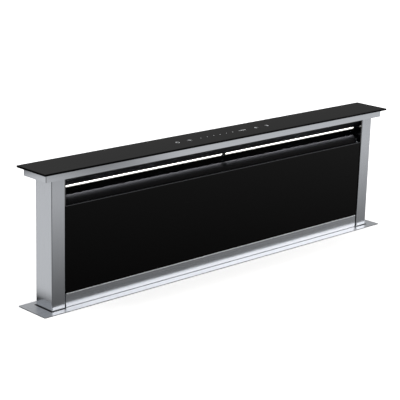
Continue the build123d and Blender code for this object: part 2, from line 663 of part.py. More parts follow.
def lift():
    """Both spindle drives and the foot of the tower that they carry."""
    rod = upright(ROD_RADIUS, CARRIAGE_X, ROD_Y, LOWER_BLOCK_TOP_Z, UPPER_BLOCK_BOTTOM_Z)
    blocks = [
        bearing_block(UPPER_BLOCK_BOTTOM_Z, UPPER_BLOCK_TOP_Z),
        bearing_block(LOWER_BLOCK_BOTTOM_Z, LOWER_BLOCK_TOP_Z),
    ]
    nut = carriage_lining(NUT_RADIUS, SCREW_RADIUS + RUNNING_CLEARANCE, SCREW_Y)
    bush = carriage_lining(ROD_BUSH_RADIUS, ROD_RADIUS + RUNNING_CLEARANCE, ROD_Y)
    return {
        "foot_frame": foot_frame(),
        **pair("lift_carriage", lift_carriage()),
        **pair("spindle_nut", nut),
        **pair("lead_screw", lead_screw()),
        **pair("drive_motor", drive_motor()),
        "guide_bushes": both_sides([bush]),
        "guide_rods": both_sides([rod]),
        "bearing_blocks": both_sides(blocks),
    }


def chassis():
    """The sheet box under the worktop and the feet that fix it to the cabinet."""
    half_y = CHASSIS_DEPTH / 2
    floor_z, top_z = -CHASSIS_HEIGHT, GASKET_THICKNESS
    front = block(-CHASSIS_INNER, CHASSIS_INNER, -half_y, SHEET - half_y, floor_z, top_z)
    front -= along_y(INLET_HOLE_RADIUS, 0, BLOWER_Z, -half_y - 1, SHEET - half_y + 1)
    foot_top = floor_z + FIXING_FOOT_HEIGHT
    feet = []
    for side in (-1, 1):
        x0 = side * FIXING_FOOT_X - FIXING_FOOT_WIDTH / 2
        x1 = x0 + FIXING_FOOT_WIDTH
        foot = block(x0, x1, CHASSIS_FACE - FIXING_FOOT_THICKNESS, CHASSIS_FACE, floor_z, foot_top)
        foot += block(
            x0, x1, CHASSIS_FACE - FIXING_FOOT_REACH, CHASSIS_FACE, floor_z,
            floor_z + FIXING_FOOT_THICKNESS,
        )
        hole_y = CHASSIS_FACE - FIXING_FOOT_REACH / 2
        hole = upright(FIXING_HOLE_RADIUS, side * FIXING_FOOT_X, hole_y, floor_z - 1, floor_z + 5)
        feet.append(foot - hole)
    return {
        "chassis_front": front,
        "chassis_rear": block(-CHASSIS_INNER, CHASSIS_INNER, half_y - SHEET, half_y, floor_z, top_z),
        **pair("chassis_side", block(CHASSIS_INNER, CHASSIS_HALF, -half_y, half_y, floor_z, top_z)),
        "chassis_base": block(
            -CHASSIS_INNER, CHASSIS_INNER, SHEET - half_y, half_y - SHEET, floor_z, floor_z + SHEET
        ),
        "fixing_feet": group(feet),
    }


def scroll_face(inset):
    """The snail outline of the blower, in X-Z about the wheel's axis, drawn in by a wall."""
    half = SCROLL_STEP / 2
    radii = [SCROLL_START_RADIUS + k * SCROLL_STEP - inset for k in range(4)]
    centres = [(half, half), (-half, half), (-half, -half), (half, -half)]
    turns = []
    for k, (centre, radius) in enumerate(zip(centres, radii)):
        turns.append(CenterArc(centre, radius, -90 + 90 * k, 90))
    low = -half - radii[3]
    start = (half, half - radii[0])
    snail = make_face(turns + [Line((half, low), start)])
    tongue = half - SCROLL_START_RADIUS * sin(radians(SCROLL_TONGUE_ANGLE)) - inset
    reach = SCROLL_OUTLET_X + 4 * inset
    mouth = outline((half, low), (reach, low), (reach, tongue), (half, tongue))
    return snail + mouth


def scroll_solid(inset, y_back, y_front):
    """The snail outline run forward from y_back to y_front."""
    face = Plane.XZ.offset(-y_back) * Pos(0, BLOWER_Z) * scroll_face(inset)
    return extrude(face, amount=y_back - y_front, dir=(0, -1, 0))


def impeller():
    """The forward-curved wheel: disc, hub, eye ring and blades in one moulding."""
    disc_face = WHEEL_FRONT + WHEEL_DISC
    wheel = along_y(WHEEL_RADIUS, 0, 0, WHEEL_FRONT, disc_face)
    wheel += along_y(HUB_RADIUS, 0, 0, disc_face, disc_face + HUB_LENGTH)
    ring = along_y(WHEEL_RADIUS, 0, 0, WHEEL_BACK - WHEEL_DISC, WHEEL_BACK)
    ring -= along_y(WHEEL_EYE_RADIUS, 0, 0, WHEEL_BACK - 2 * WHEEL_DISC, WHEEL_BACK + WHEEL_DISC)
    inner, outer = WHEEL_EYE_RADIUS, WHEEL_RADIUS - BLADE_THICKNESS
    middle = (inner + outer) / 2
    thick = BLADE_THICKNESS
    leading = ThreePointArc((inner, 0), (middle, BLADE_SWEEP / 4), (outer, BLADE_SWEEP))
    tip, root = (outer, BLADE_SWEEP + thick), (inner, thick)
    trailing = ThreePointArc(tip, (middle, BLADE_SWEEP / 4 + thick), root)
    face = make_face(
        [leading, Line((outer, BLADE_SWEEP), tip), trailing, Line(root, (inner, 0))]
    )
    length = WHEEL_BACK - disc_face
    blade = extrude(Plane.XZ.offset(-WHEEL_BACK) * face, amount=length, dir=(0, -1, 0))
    blades = [Rot(0, n * 360 / BLADE_COUNT, 0) * blade for n in range(BLADE_COUNT)]
    wheel = wheel + ring + blades
    bore = along_y(SHAFT_RADIUS, 0, 0, WHEEL_FRONT - 1, disc_face + HUB_LENGTH + 1)
    return Pos(0, 0, BLOWER_Z) * (wheel - bore)


def fan_motor():
    """The finned motor on the front of the scroll."""
    face = SCROLL_FRONT
    front = face - FAN_MOTOR_LENGTH
    body = along_y(FAN_MOTOR_RADIUS, 0, BLOWER_Z, front, face)
    body = chamfer(body.edges().sort_by(Axis.Y)[0], 3 * FAN_MOTOR_FIN_HEIGHT)
    body += along_y(FAN_MOTOR_FLANGE_RADIUS, 0, BLOWER_Z, face - FAN_MOTOR_FLANGE, face)
    fin = block(
        -BLADE_THICKNESS, BLADE_THICKNESS, front + 4 * FAN_MOTOR_FIN_HEIGHT, face,
        FAN_MOTOR_RADIUS - 1, FAN_MOTOR_RADIUS + FAN_MOTOR_FIN_HEIGHT,
    )
    fins = [
        Pos(0, 0, BLOWER_Z) * Rot(0, n * 360 / FAN_MOTOR_FINS, 0) * fin for n in range(FAN_MOTOR_FINS)
    ]
    body += fins
    bore = SHAFT_RADIUS + RUNNING_CLEARANCE
    return body - along_y(bore, 0, BLOWER_Z, front + FAN_MOTOR_LENGTH / 4, face + 1)


def blower():
    """Scroll, inlet plate, wheel and motor on the front of the chassis."""
    scroll = scroll_solid(0, SCROLL_BACK, SCROLL_FRONT)
    scroll -= scroll_solid(SCROLL_WALL, SCROLL_BACK + 1, SCROLL_FRONT + SCROLL_WALL)
    scroll -= along_y(SHAFT_HOLE_RADIUS, 0, BLOWER_Z, SCROLL_FRONT - 1, SCROLL_FRONT + 3)
    plate = scroll_solid(0, CHASSIS_FACE, SCROLL_BACK)
    mouth_end = CHASSIS_FACE - INLET_LIP - SCROLL_WALL
    plate += along_y(INLET_RADIUS + SCROLL_WALL, 0, BLOWER_Z, mouth_end, CHASSIS_FACE)
    plate -= along_y(INLET_RADIUS, 0, BLOWER_Z, mouth_end - 1, CHASSIS_FACE + 1)
    shaft_front = SCROLL_FRONT - FAN_MOTOR_LENGTH / 2
    shaft = along_y(SHAFT_RADIUS, 0, BLOWER_Z, shaft_front, WHEEL_FRONT + WHEEL_DISC + HUB_LENGTH)
    return {
        "blower_scroll": scroll,
        "blower_inlet_plate": plate,
        "impeller": impeller(),
        "impeller_shaft": shaft,
        "fan_motor": fan_motor(),
    }


def outlet_passage(inset):
    """The solid inside of the outlet: flat sides off the scroll's mouth, bends off each corner."""
    low = -SCROLL_STEP / 2 - SCROLL_START_RADIUS - 3 * SCROLL_STEP
    high = SCROLL_STEP / 2 - SCROLL_START_RADIUS * sin(radians(SCROLL_TONGUE_ANGLE))
    half_y, half_z = (SCROLL_BACK - SCROLL_FRONT) / 2 - inset, (high - low) / 2 - inset
    middle_y, middle_z = (SCROLL_BACK + SCROLL_FRONT) / 2, BLOWER_Z + (low + high) / 2
    corners = [
        Vector(SCROLL_OUTLET_X, middle_y + y * half_y, middle_z + z * half_z)
        for y, z in ((1, -1), (1, 1), (-1, 1), (-1, -1))
    ]
    turns = [radians(90 * k / OUTLET_BENDS) for k in range(4 * OUTLET_BENDS + 1)]
    radius = DUCT_RADIUS - inset
    ring = [Vector(DUCT_X, DUCT_Y + radius * cos(t), DUCT_Z + radius * sin(t)) for t in turns]
    sides = [corners, ring[:-1]]
    for k in range(4):
        corner, after = corners[k], corners[(k + 1) % 4]
        quarter = ring[k * OUTLET_BENDS:(k + 1) * OUTLET_BENDS + 1]
        sides.append([corner, after, quarter[0]])
        sides += [[after, far, near] for near, far in zip(quarter, quarter[1:])]
    return Solid(Shell([Face(Wire.make_polygon(points)) for points in sides]))


def duct():
    """The square-to-round outlet, the round collar and the two-leaf backdraught damper."""
    outlet = outlet_passage(0) - outlet_passage(SCROLL_WALL)
    end = DUCT_X + DUCT_LENGTH
    collar = along_x(DUCT_RADIUS, DUCT_Y, DUCT_Z, DUCT_X, end)
    collar -= along_x(DUCT_RADIUS - SCROLL_WALL, DUCT_Y, DUCT_Z, DUCT_X - 1, end + 1)
    inner = DUCT_RADIUS - SCROLL_WALL
    pin = upright(DAMPER_PIN_RADIUS, DAMPER_PIN_X, DUCT_Y, DUCT_Z - inner, DUCT_Z + inner)
    pin &= along_x(inner, DUCT_Y, DUCT_Z, DUCT_X, end)
    return {
        "outlet_transition": outlet,
        "duct_collar": collar,
        "damper_pin": pin,
        "damper_leaf_front": damper_leaf(-1),
        "damper_leaf_rear": damper_leaf(1),
    }


def damper_leaf(side):
    """Half of the damper: a half-round leaf with knuckles that turn on the pin."""
    inner = DUCT_RADIUS - SCROLL_WALL - DAMPER_GAP
    bore = DAMPER_PIN_RADIUS + RUNNING_CLEARANCE
    sleeve = bore + DAMPER_SLEEVE
    near, far = DAMPER_PIN_X - DAMPER_THICKNESS / 2, DAMPER_PIN_X + DAMPER_THICKNESS / 2
    low, high = DUCT_Z - 2 * inner, DUCT_Z + 2 * inner
    leaf = along_x(inner, DUCT_Y, DUCT_Z, near, far)
    edge = DUCT_Y + side * (bore + DAMPER_NOTCH_GAP)
    leaf &= block(near, far, edge, DUCT_Y + side * 2 * inner, low, high)
    pitch = DAMPER_KNUCKLE + DAMPER_KNUCKLE_GAP
    own, other = ((-pitch, pitch), (0,)) if side < 0 else ((0,), (-pitch, pitch))
    half = DAMPER_KNUCKLE / 2
    for middle in own:
        leaf += upright(sleeve, DAMPER_PIN_X, DUCT_Y, DUCT_Z + middle - half, DUCT_Z + middle + half)
    notch = half + DAMPER_KNUCKLE_GAP
    for middle in other:
        leaf -= upright(
            sleeve + DAMPER_NOTCH_GAP, DAMPER_PIN_X, DUCT_Y,
            DUCT_Z + middle - notch, DUCT_Z + middle + notch,
        )
    return leaf - upright(bore, DAMPER_PIN_X, DUCT_Y, low, high)


def control_box():
    """The electronics housing on the chassis front, its lid and the mains cable gland."""
    x0, x1 = BOX_LEFT_X, BOX_LEFT_X + BOX_WIDTH
    z0, z1 = BOX_TOP_Z - BOX_HEIGHT, BOX_TOP_Z
    y_front = CHASSIS_FACE - BOX_DEPTH
    case = block(x0, x1, y_front, CHASSIS_FACE, z0, z1)
    case = fillet(case.edges().filter_by(Axis.Y), 3 * BOX_WALL)
    case -= block(
        x0 + BOX_WALL, x1 - BOX_WALL, y_front - 1, CHASSIS_FACE - BOX_WALL, z0 + BOX_WALL, z1 - BOX_WALL
    )
    lid = block(x0, x1, y_front - BOX_WALL, y_front, z0, z1)
    lid = fillet(lid.edges().filter_by(Axis.Y), 3 * BOX_WALL)
    gland_x, gland_y = x1 - 4 * GLAND_RADIUS, CHASSIS_FACE - BOX_DEPTH / 2
    case -= upright(GLAND_RADIUS, gland_x, gland_y, z0 - 1, z0 + BOX_WALL + 1)
    gland = upright(GLAND_RADIUS, gland_x, gland_y, z0 - GLAND_LENGTH, z0 + BOX_WALL)
    nut = RegularPolygon(GLAND_NUT_ACROSS / 2, 6, major_radius=False)
    gland += extrude(Pos(gland_x, gland_y, z0 - GLAND_NUT_LENGTH) * nut, GLAND_NUT_LENGTH, dir=(0, 0, 1))
    gland -= upright(GLAND_BORE, gland_x, gland_y, z0 - GLAND_LENGTH - 1, z0 + BOX_WALL + 1)
    return {"control_box": case, "control_box_lid": lid, "cable_gland": gland}


def tower_nodes():
    """Everything that rises with the tower, apart from the lift parts."""
    filters = {
        f"grease_filter_{name}": grease_filter(n)
        for n, name in enumerate(("left", "middle", "right"))
    }
    return {
        **head(),
        **pair("side_column", side_column()),
        "rear_panel": rear_panel(),
        "slot_cheeks": both_sides([slot_cheek()]),
        **lamps(),
        "air_guide_vane": air_guide_vane(),
        **front_panel(),
        "panel_hinge_bushes": hinge_bushes(),
        "panel_catches": panel_catches(),
        "front_strip": front_strip(),
        "filter_rails": filter_rails(),
        **filters,
    }


def nodes():
    """Every sub-part by name."""
    return {
        **worktop_flange(),
        "wiper_seal": wiper_seal(),
        **tower_nodes(),
        **lift(),
        **chassis(),
        **blower(),
        **duct(),
        **control_box(),
    }


os.makedirs("parts", exist_ok=True)
for node, shape in nodes().items():
    export_step(shape, f"parts/{node}.step")
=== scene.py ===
"""Finishes a retractable worktop extractor: brushed steel, black glass, lit slot and fasteners.

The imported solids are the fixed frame. This script gives each of them the finish of the real piece,
adds the small pieces that are too fine for the solids, and sets a pale floor, studio light and a
camera at the angle of the photograph.

Sizes are in millimetres and are turned to metres by one constant. X runs across the width, -Y is
the front, +Z is up, and z = 0 is the surface of the worktop.
"""

from __future__ import annotations

import logging
import math
from collections.abc import Iterable, Mapping, Sequence
from dataclasses import dataclass, field
from enum import Enum

import bmesh
import bpy
from mathutils import Matrix, Vector

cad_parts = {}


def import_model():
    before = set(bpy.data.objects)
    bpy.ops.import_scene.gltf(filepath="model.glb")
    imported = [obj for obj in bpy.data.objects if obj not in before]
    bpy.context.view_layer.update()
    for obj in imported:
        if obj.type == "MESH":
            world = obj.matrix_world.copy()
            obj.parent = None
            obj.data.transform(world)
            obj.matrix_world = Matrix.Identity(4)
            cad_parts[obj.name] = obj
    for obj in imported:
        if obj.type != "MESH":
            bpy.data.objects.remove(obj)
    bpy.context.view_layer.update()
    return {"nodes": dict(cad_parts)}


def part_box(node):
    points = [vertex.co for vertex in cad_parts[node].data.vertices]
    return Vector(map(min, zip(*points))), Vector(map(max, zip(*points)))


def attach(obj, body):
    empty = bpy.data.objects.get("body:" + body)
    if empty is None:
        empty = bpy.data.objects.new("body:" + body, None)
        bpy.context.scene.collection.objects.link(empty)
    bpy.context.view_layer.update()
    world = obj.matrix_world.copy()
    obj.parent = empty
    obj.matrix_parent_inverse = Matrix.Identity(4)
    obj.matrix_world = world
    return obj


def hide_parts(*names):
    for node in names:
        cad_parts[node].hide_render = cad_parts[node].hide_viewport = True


MM = 0.001
# Where the values of a noise texture mostly lie
NOISE_SPAN = (0.3, 0.7)
# The scale at which one band of Blender's wave texture is one unit long
WAVE_CYCLE = math.tau / 20
LOG = logging.getLogger("extractor")

Colour = tuple[float, float, float, float]
Point = tuple[float, float, float]


def linear(hex_code: str) -> Colour:
    """Turns an sRGB hex colour to the linear values that a shader takes.

    Args:
        hex_code: Six hex digits after a hash mark.

    Returns:
        Red, green, blue and an alpha of 1.
    """
    shares = [int(hex_code[i:i + 2], 16) / 255 for i in (1, 3, 5)]
    red, green, blue = (c / 12.92 if c <= 0.04045 else ((c + 0.055) / 1.055) ** 2.4 for c in shares)
    return red, green, blue, 1.0


def add_node(
    tree: bpy.types.NodeTree,
    kind: str,
    settings: Mapping[str, object] | None = None,
    values: Mapping[str | int, object] | None = None,
    links: Mapping[str | int, bpy.types.NodeSocket] | None = None,
) -> bpy.types.Node:
    """Adds one node with its settings, its socket values and its links.

    Args:
        tree: The node tree that takes the node.
        kind: The node's type name without the ShaderNode prefix.
        settings: Attributes of the node.
        values: Default values of input sockets, by name or number.
        links: Output sockets that feed input sockets, by name or number.

    Returns:
        The new node.
    """
    node = tree.nodes.new(f"ShaderNode{kind}")
    for name, value in (settings or {}).items():
        setattr(node, name, value)
    for socket, value in (values or {}).items():
        node.inputs[socket].default_value = value
    for socket, source in (links or {}).items():
        tree.links.new(source, node.inputs[socket])
    return node


def spread(
    tree: bpy.types.NodeTree, factor: bpy.types.NodeSocket, low: float, high: float
) -> bpy.types.NodeSocket:
    """Spreads the span in which noise mostly lies over a wanted range.

    Args:
        tree: The node tree.
        factor: The pattern.
        low: The value at the pattern's low end.
        high: The value at its high end.

    Returns:
        The socket that holds the result.
    """
    node = add_node(
        tree, "MapRange", links={"Value": factor},
        values={
            "From Min": NOISE_SPAN[0], "From Max": NOISE_SPAN[1], "To Min": low, "To Max": high,
        },
    )
    return node.outputs["Result"]


def share_ramp(
    tree: bpy.types.NodeTree, share: bpy.types.NodeSocket, span: Sequence[float],
    tones: Sequence[float],
) -> bpy.types.NodeSocket:
    """Runs smoothly from one tone to another over a span of plain numbers.

    Args:
        tree: The node tree.
        share: The number that the ramp goes by.
        span: Where the ramp starts and ends.
        tones: The tone before it and the tone after it.

    Returns:
        The socket that holds the tone.
    """
    node = add_node(
        tree, "MapRange", settings={"interpolation_type": "SMOOTHSTEP"},
        values={
            "From Min": span[0], "From Max": span[1], "To Min": tones[0], "To Max": tones[1],
        },
        links={"Value": share},
    )
    return node.outputs["Result"]


def ramp(
    tree: bpy.types.NodeTree, length: bpy.types.NodeSocket, span_mm: Sequence[float],
    tones: Sequence[float],
) -> bpy.types.NodeSocket:
    """Runs smoothly from one tone to another over a span.

    Args:
        tree: The node tree.
        length: The length in metres that the ramp goes by.
        span_mm: Where the ramp starts and ends.
        tones: The tone before it and the tone after it.

    Returns:
        The socket that holds the tone.
    """
    return share_ramp(tree, length, [end * MM for end in span_mm], tones)


class Grain(Enum):
    """The way a sheet was brushed: the mark's share of its full length along X, Y and Z."""

    ALONG_X = (1.0, 0.0, 0.0)
    ALONG_Y = (0.0, 1.0, 0.0)
    ALONG_Z = (0.0, 0.0, 1.0)


class Body(Enum):
    """Bodies of the mechanism that new pieces ride on."""

    CHASSIS = "chassis"
    TOWER = "tower"
    SCREW_LEFT = "screw_left"
    SCREW_RIGHT = "screw_right"


@dataclass(frozen=True)
class Finish:
    """One finish: what the surface is made of and how it was made.

    Attributes:
        name: The material's common name.
        colour: Its sRGB colour.
        roughness: The roughness that the pattern is centred on.
        metallic: 1 for bare metal, 0 for the rest.
        tone_sway: How far the pattern takes the colour either way, as a share of itself.
        gloss_sway: How far it takes the roughness either way, as a share of itself.
        relief_mm: How deep its relief is.
        relief_share: How much of the relief shows.
    """

    name: str
    colour: str
    roughness: float
    metallic: float = 0.0
    tone_sway: float = 0.05
    gloss_sway: float = 0.2
    relief_mm: float = 0.02
    relief_share: float = 0.1

    def material(self) -> bpy.types.Material:
        """Builds the material: a Principled shader that the finish's own pattern dresses.

        Returns:
            The new material.
        """
        material = bpy.data.materials.new(self.name)
        material.use_nodes = True
        tree = material.node_tree
        tree.nodes.clear()
        shader = add_node(
            tree, "BsdfPrincipled",
            values={
                "Base Color": linear(self.colour), "Roughness": self.roughness,
                "Metallic": self.metallic,
            },
        )
        add_node(tree, "OutputMaterial", links={"Surface": shader.outputs["BSDF"]})
        self.dress(tree, shader)
        return material

    def place(self, tree: bpy.types.NodeTree, cell_mm: Sequence[float]) -> bpy.types.NodeSocket:
        """Object coordinates, scaled so that one unit is one cell of the pattern.

        Args:
            tree: The node tree.
            cell_mm: The cell's size along X, Y and Z.

        Returns:
            The scaled coordinates.
        """
        source = add_node(tree, "TexCoord")
        scale = tuple(1 / (size * MM) for size in cell_mm)
        mapping = add_node(
            tree, "Mapping", values={"Scale": scale}, links={"Vector": source.outputs["Object"]}
        )
        return mapping.outputs["Vector"]

    def tint(
        self, tree: bpy.types.NodeTree, shader: bpy.types.Node, factor: bpy.types.NodeSocket
    ) -> None:
        """Lets the pattern darken and lighten the colour.

        Args:
            tree: The node tree.
            shader: The Principled node.
            factor: The pattern.
        """
        shares = linear(self.colour)[:3]
        dark, light = (
            [min(share * (1 + way * self.tone_sway), 1) for share in shares] for way in (-1, 1)
        )
        mix = add_node(
            tree, "Mix", settings={"data_type": "RGBA"}, values={6: (*dark, 1.0), 7: (*light, 1.0)},
            links={0: spread(tree, factor, 0.0, 1.0)},
        )
        tree.links.new(mix.outputs[2], shader.inputs["Base Color"])

    def sway_gloss(
        self, tree: bpy.types.NodeTree, shader: bpy.types.Node, factor: bpy.types.NodeSocket
    ) -> None:
        """Lets the pattern make the gloss uneven about the roughness.

        Args:
            tree: The node tree.
            shader: The Principled node.
            factor: The pattern.
        """
        low, high = (self.roughness * (1 + way * self.gloss_sway) for way in (-1, 1))
        tree.links.new(spread(tree, factor, low, high), shader.inputs["Roughness"])

    def relief(
        self, tree: bpy.types.NodeTree, shader: bpy.types.Node, height: bpy.types.NodeSocket
    ) -> None:
        """Raises the pattern as a fine relief.

        Args:
            tree: The node tree.
            shader: The Principled node.
            height: The pattern.
        """
        bump = add_node(
            tree, "Bump",
            values={"Strength": self.relief_share, "Distance": self.relief_mm * MM},
            links={"Height": height},
        )
        tree.links.new(bump.outputs["Normal"], shader.inputs["Normal"])

    def dress(self, tree: bpy.types.NodeTree, shader: bpy.types.Node) -> None:
        """Adds the finish's own pattern to the shader. Each kind of finish has its own."""
        raise NotImplementedError


@dataclass(frozen=True)
class BrushedSteel(Finish):
    """Stainless sheet with a fine brushed grain, which draws highlights out across the grain.

    Attributes:
        grain: The way of the brushing.
        mark_length_mm: How long one brushed mark is.
        mark_width_mm: How wide it is, drawn coarser than the real 0.2 mm so that it shows.
        pull: How far the grain stretches a highlight.
    """

    metallic: float = 1.0
    relief_share: float = 0.12
    grain: Grain = Grain.ALONG_X
    mark_length_mm: float = 90.0
    mark_width_mm: float = 1.1
    pull: float = 0.45

    def dress(self, tree: bpy.types.NodeTree, shader: bpy.types.Node) -> None:
        """Long thin noise in the colour, the gloss and the relief.

        Args:
            tree: The material's node tree.
            shader: The Principled node.
        """
        extra = self.mark_length_mm - self.mark_width_mm
        cell = [self.mark_width_mm + extra * along for along in self.grain.value]
        marks = add_node(
            tree, "TexNoise", values={"Scale": 1.0, "Detail": 3.0, "Roughness": 0.65},
            links={"Vector": self.place(tree, cell)},
        )
        self.tint(tree, shader, marks.outputs["Fac"])
        self.sway_gloss(tree, shader, marks.outputs["Fac"])
        self.relief(tree, shader, marks.outputs["Fac"])
        across = tuple(1.0 - along for along in self.grain.value)
        tangent = add_node(tree, "CombineXYZ", values=dict(enumerate(across)))
        shader.inputs["Anisotropic"].default_value = self.pull
        tree.links.new(tangent.outputs["Vector"], shader.inputs["Tangent"])


@dataclass(frozen=True)
class SteelWithPaintedShadeInside(BrushedSteel):
    """Brushed sheet with painted shade on its inner face, a dull black, so that the slot shows no back.

    Attributes:
        face_mm: How far back the sheet's outer face lies.
        sheet_mm: How thick the sheet is.
        painted_shade_share: From where to where, as a share of the sheet's thickness, the painted shade
            begins.
        shade_lining: The painted shade's sRGB colour.
        shade_lining_gloss: The painted shade's specular level.
    """

    face_mm: float = 28.25
    sheet_mm: float = 1.2
    painted_shade_share: tuple[float, float] = (0.4, 0.6)
    shade_lining: str = "#0A0A0B"
    shade_lining_gloss: float = 0.05

    def dress(self, tree: bpy.types.NodeTree, shader: bpy.types.Node) -> None:
        """The brushed face outside, and painted shade, a dull black, on all that lies further in.

        Args:
            tree: The material's node tree.
            shader: The Principled node.
        """
        super().dress(tree, shader)
        steel = shader.inputs["Base Color"].links[0].from_socket
        axes = add_node(
            tree, "SeparateXYZ", links={"Vector": add_node(tree, "TexCoord").outputs["Object"]}
        )
        # painted shade: all that lies further in than the outer face turns dull black
        start, end = ((self.face_mm - self.sheet_mm * share) * MM for share in self.painted_shade_share)
        outside = add_node(
            tree, "MapRange", values={"From Min": end, "From Max": start},
            links={"Value": axes.outputs["Y"]},
        )
        mix = add_node(
            tree, "Mix", settings={"data_type": "RGBA"}, values={6: linear(self.shade_lining)},
            links={0: outside.outputs["Result"], 7: steel},
        )
        tree.links.new(mix.outputs[2], shader.inputs["Base Color"])
        tree.links.new(outside.outputs["Result"], shader.inputs["Metallic"])
        shader.inputs["Specular IOR Level"].default_value = self.shade_lining_gloss


@dataclass(frozen=True)
class BackPaintedGlass(Finish):
    """Float glass painted black behind, so that only its clear face is seen.

    Attributes:
        gloss: The specular level, low because the dark coat lies right behind the face.
        wave_mm: The width of the slight waves that a float line leaves.
    """

    gloss_sway: float = 0.3
    relief_share: float = 0.05
    gloss: float = 0.05
    wave_mm: float = 160.0

    def dress(self, tree: bpy.types.NodeTree, shader: bpy.types.Node) -> None:
        """A smooth face with faint float waves in the gloss and the relief.

        Args:
            tree: The material's node tree.
            shader: The Principled node.
        """
        shader.inputs["Specular IOR Level"].default_value = self.gloss
        waves = add_node(
            tree, "TexNoise", values={"Scale": 1.0, "Detail": 1.0},
            links={"Vector": self.place(tree, [self.wave_mm] * 3)},
        )
        self.sway_gloss(tree, shader, waves.outputs["Fac"])
        self.relief(tree, shader, waves.outputs["Fac"])


@dataclass(frozen=True)
class Moulded(Finish):
    """Injection-moulded ABS or nylon with the fine grain of an eroded mould.

    Attributes:
        gloss: The specular level, where 0.5 is that of a plain plastic.
        grit_mm: The grain's size, drawn coarser than the real 0.15 mm so that it shows.
    """

    tone_sway: float = 0.08
    gloss_sway: float = 0.15
    relief_mm: float = 0.05
    relief_share: float = 0.3
    gloss: float = 0.5
    grit_mm: float = 0.8

    def dress(self, tree: bpy.types.NodeTree, shader: bpy.types.Node) -> None:
        """Grainy relief and slightly uneven gloss.

        Args:
            tree: The material's node tree.
            shader: The Principled node.
        """
        shader.inputs["Specular IOR Level"].default_value = self.gloss
        grit = add_node(
            tree, "TexNoise", values={"Scale": 1.0, "Detail": 2.0, "Roughness": 0.6},
            links={"Vector": self.place(tree, [self.grit_mm] * 3)},
        )
        self.sway_gloss(tree, shader, grit.outputs["Fac"])
        self.tint(tree, shader, grit.outputs["Fac"])
        self.relief(tree, shader, grit.outputs["Fac"])


@dataclass(frozen=True)
class Anodised(Finish):
    """Extruded aluminium with a dyed anodic coat: satin, with faint lines along the extrusion.

    Attributes:
        line_mm: The width of one die line.
        run_mm: How long it keeps its tone.
    """

    metallic: float = 0.4
    tone_sway: float = 0.1
    gloss_sway: float = 0.15
    line_mm: float = 0.7
    run_mm: float = 400.0

    def dress(self, tree: bpy.types.NodeTree, shader: bpy.types.Node) -> None:
        """Faint die lines along X in the tone and the gloss.

        Args:
            tree: The material's node tree.
            shader: The Principled node.
        """
        lines = add_node(
            tree, "TexNoise", values={"Scale": 1.0, "Detail": 2.0},
            links={"Vector": self.place(tree, [self.run_mm, self.line_mm, self.line_mm])},
        )
        self.tint(tree, shader, lines.outputs["Fac"])
        self.sway_gloss(tree, shader, lines.outputs["Fac"])


@dataclass(frozen=True)
class PowderCoat(Finish):
    """Stove-enamelled powder on sheet steel, with a light orange peel.

    Attributes:
        peel_mm: The width of one dimple.
    """

    gloss_sway: float = 0.1
    relief_mm: float = 0.05
    relief_share: float = 0.25
    peel_mm: float = 1.4

    def dress(self, tree: bpy.types.NodeTree, shader: bpy.types.Node) -> None:
        """Soft dimples in the relief and the gloss.

        Args:
            tree: The material's node tree.
            shader: The Principled node.
        """
        peel = add_node(
            tree, "TexNoise", values={"Scale": 1.0, "Detail": 1.0},
            links={"Vector": self.place(tree, [self.peel_mm] * 3)},
        )
        self.relief(tree, shader, peel.outputs["Fac"])
        self.sway_gloss(tree, shader, peel.outputs["Fac"])


@dataclass(frozen=True)
class ZincCoat(Finish):
    """Galvanised sheet steel, whose zinc froze in flat flakes of different greys.

    Attributes:
        spangle_mm: The width of one flake.
    """

    metallic: float = 1.0
    tone_sway: float = 0.12
    spangle_mm: float = 7.0

    def dress(self, tree: bpy.types.NodeTree, shader: bpy.types.Node) -> None:
        """Flat cells that differ in tone and gloss.

        Args:
            tree: The material's node tree.
            shader: The Principled node.
        """
        flakes = add_node(
            tree, "TexVoronoi", values={"Scale": 1.0, "Randomness": 1.0},
            links={"Vector": self.place(tree, [self.spangle_mm] * 3)},
        )
        tone = add_node(tree, "SeparateColor", links={"Color": flakes.outputs["Color"]})
        self.tint(tree, shader, tone.outputs["Red"])
        self.sway_gloss(tree, shader, tone.outputs["Green"])


@dataclass(frozen=True)
class Turned(Finish):
    """Turned or ground metal, with fine rings left by the tool.

    Attributes:
        ring_mm: The step between two rings, drawn coarser than the real 0.1 mm so that it shows.
        across_mm: How far a ring keeps its tone across the bar, more than the bar is thick.
    """

    metallic: float = 1.0
    tone_sway: float = 0.06
    ring_mm: float = 0.6
    across_mm: float = 40.0

    def dress(self, tree: bpy.types.NodeTree, shader: bpy.types.Node) -> None:
        """Fine rings along Z, in the tone and the gloss.

        Args:
            tree: The material's node tree.
            shader: The Principled node.
        """
        rings = add_node(
            tree, "TexNoise", values={"Scale": 1.0, "Detail": 1.0},
            links={"Vector": self.place(tree, [self.across_mm, self.across_mm, self.ring_mm])},
        )
        self.tint(tree, shader, rings.outputs["Fac"])
        self.sway_gloss(tree, shader, rings.outputs["Fac"])


@dataclass(frozen=True)
class Elastomer(Finish):
    """Closed-cell foam and moulded rubber: dull, with a fine open skin.

    Attributes:
        cell_mm: The width of one cell.
    """

    tone_sway: float = 0.15
    relief_mm: float = 0.1
    relief_share: float = 0.3
    cell_mm: float = 0.9

    def dress(self, tree: bpy.types.NodeTree, shader: bpy.types.Node) -> None:
        """Small cells in the relief and the tone.

        Args:
            tree: The material's node tree.
            shader: The Principled node.
        """
        cells = add_node(
            tree, "TexVoronoi", values={"Scale": 1.0},
            links={"Vector": self.place(tree, [self.cell_mm] * 3)},
        )
        self.tint(tree, shader, cells.outputs["Distance"])
        self.relief(tree, shader, cells.outputs["Distance"])


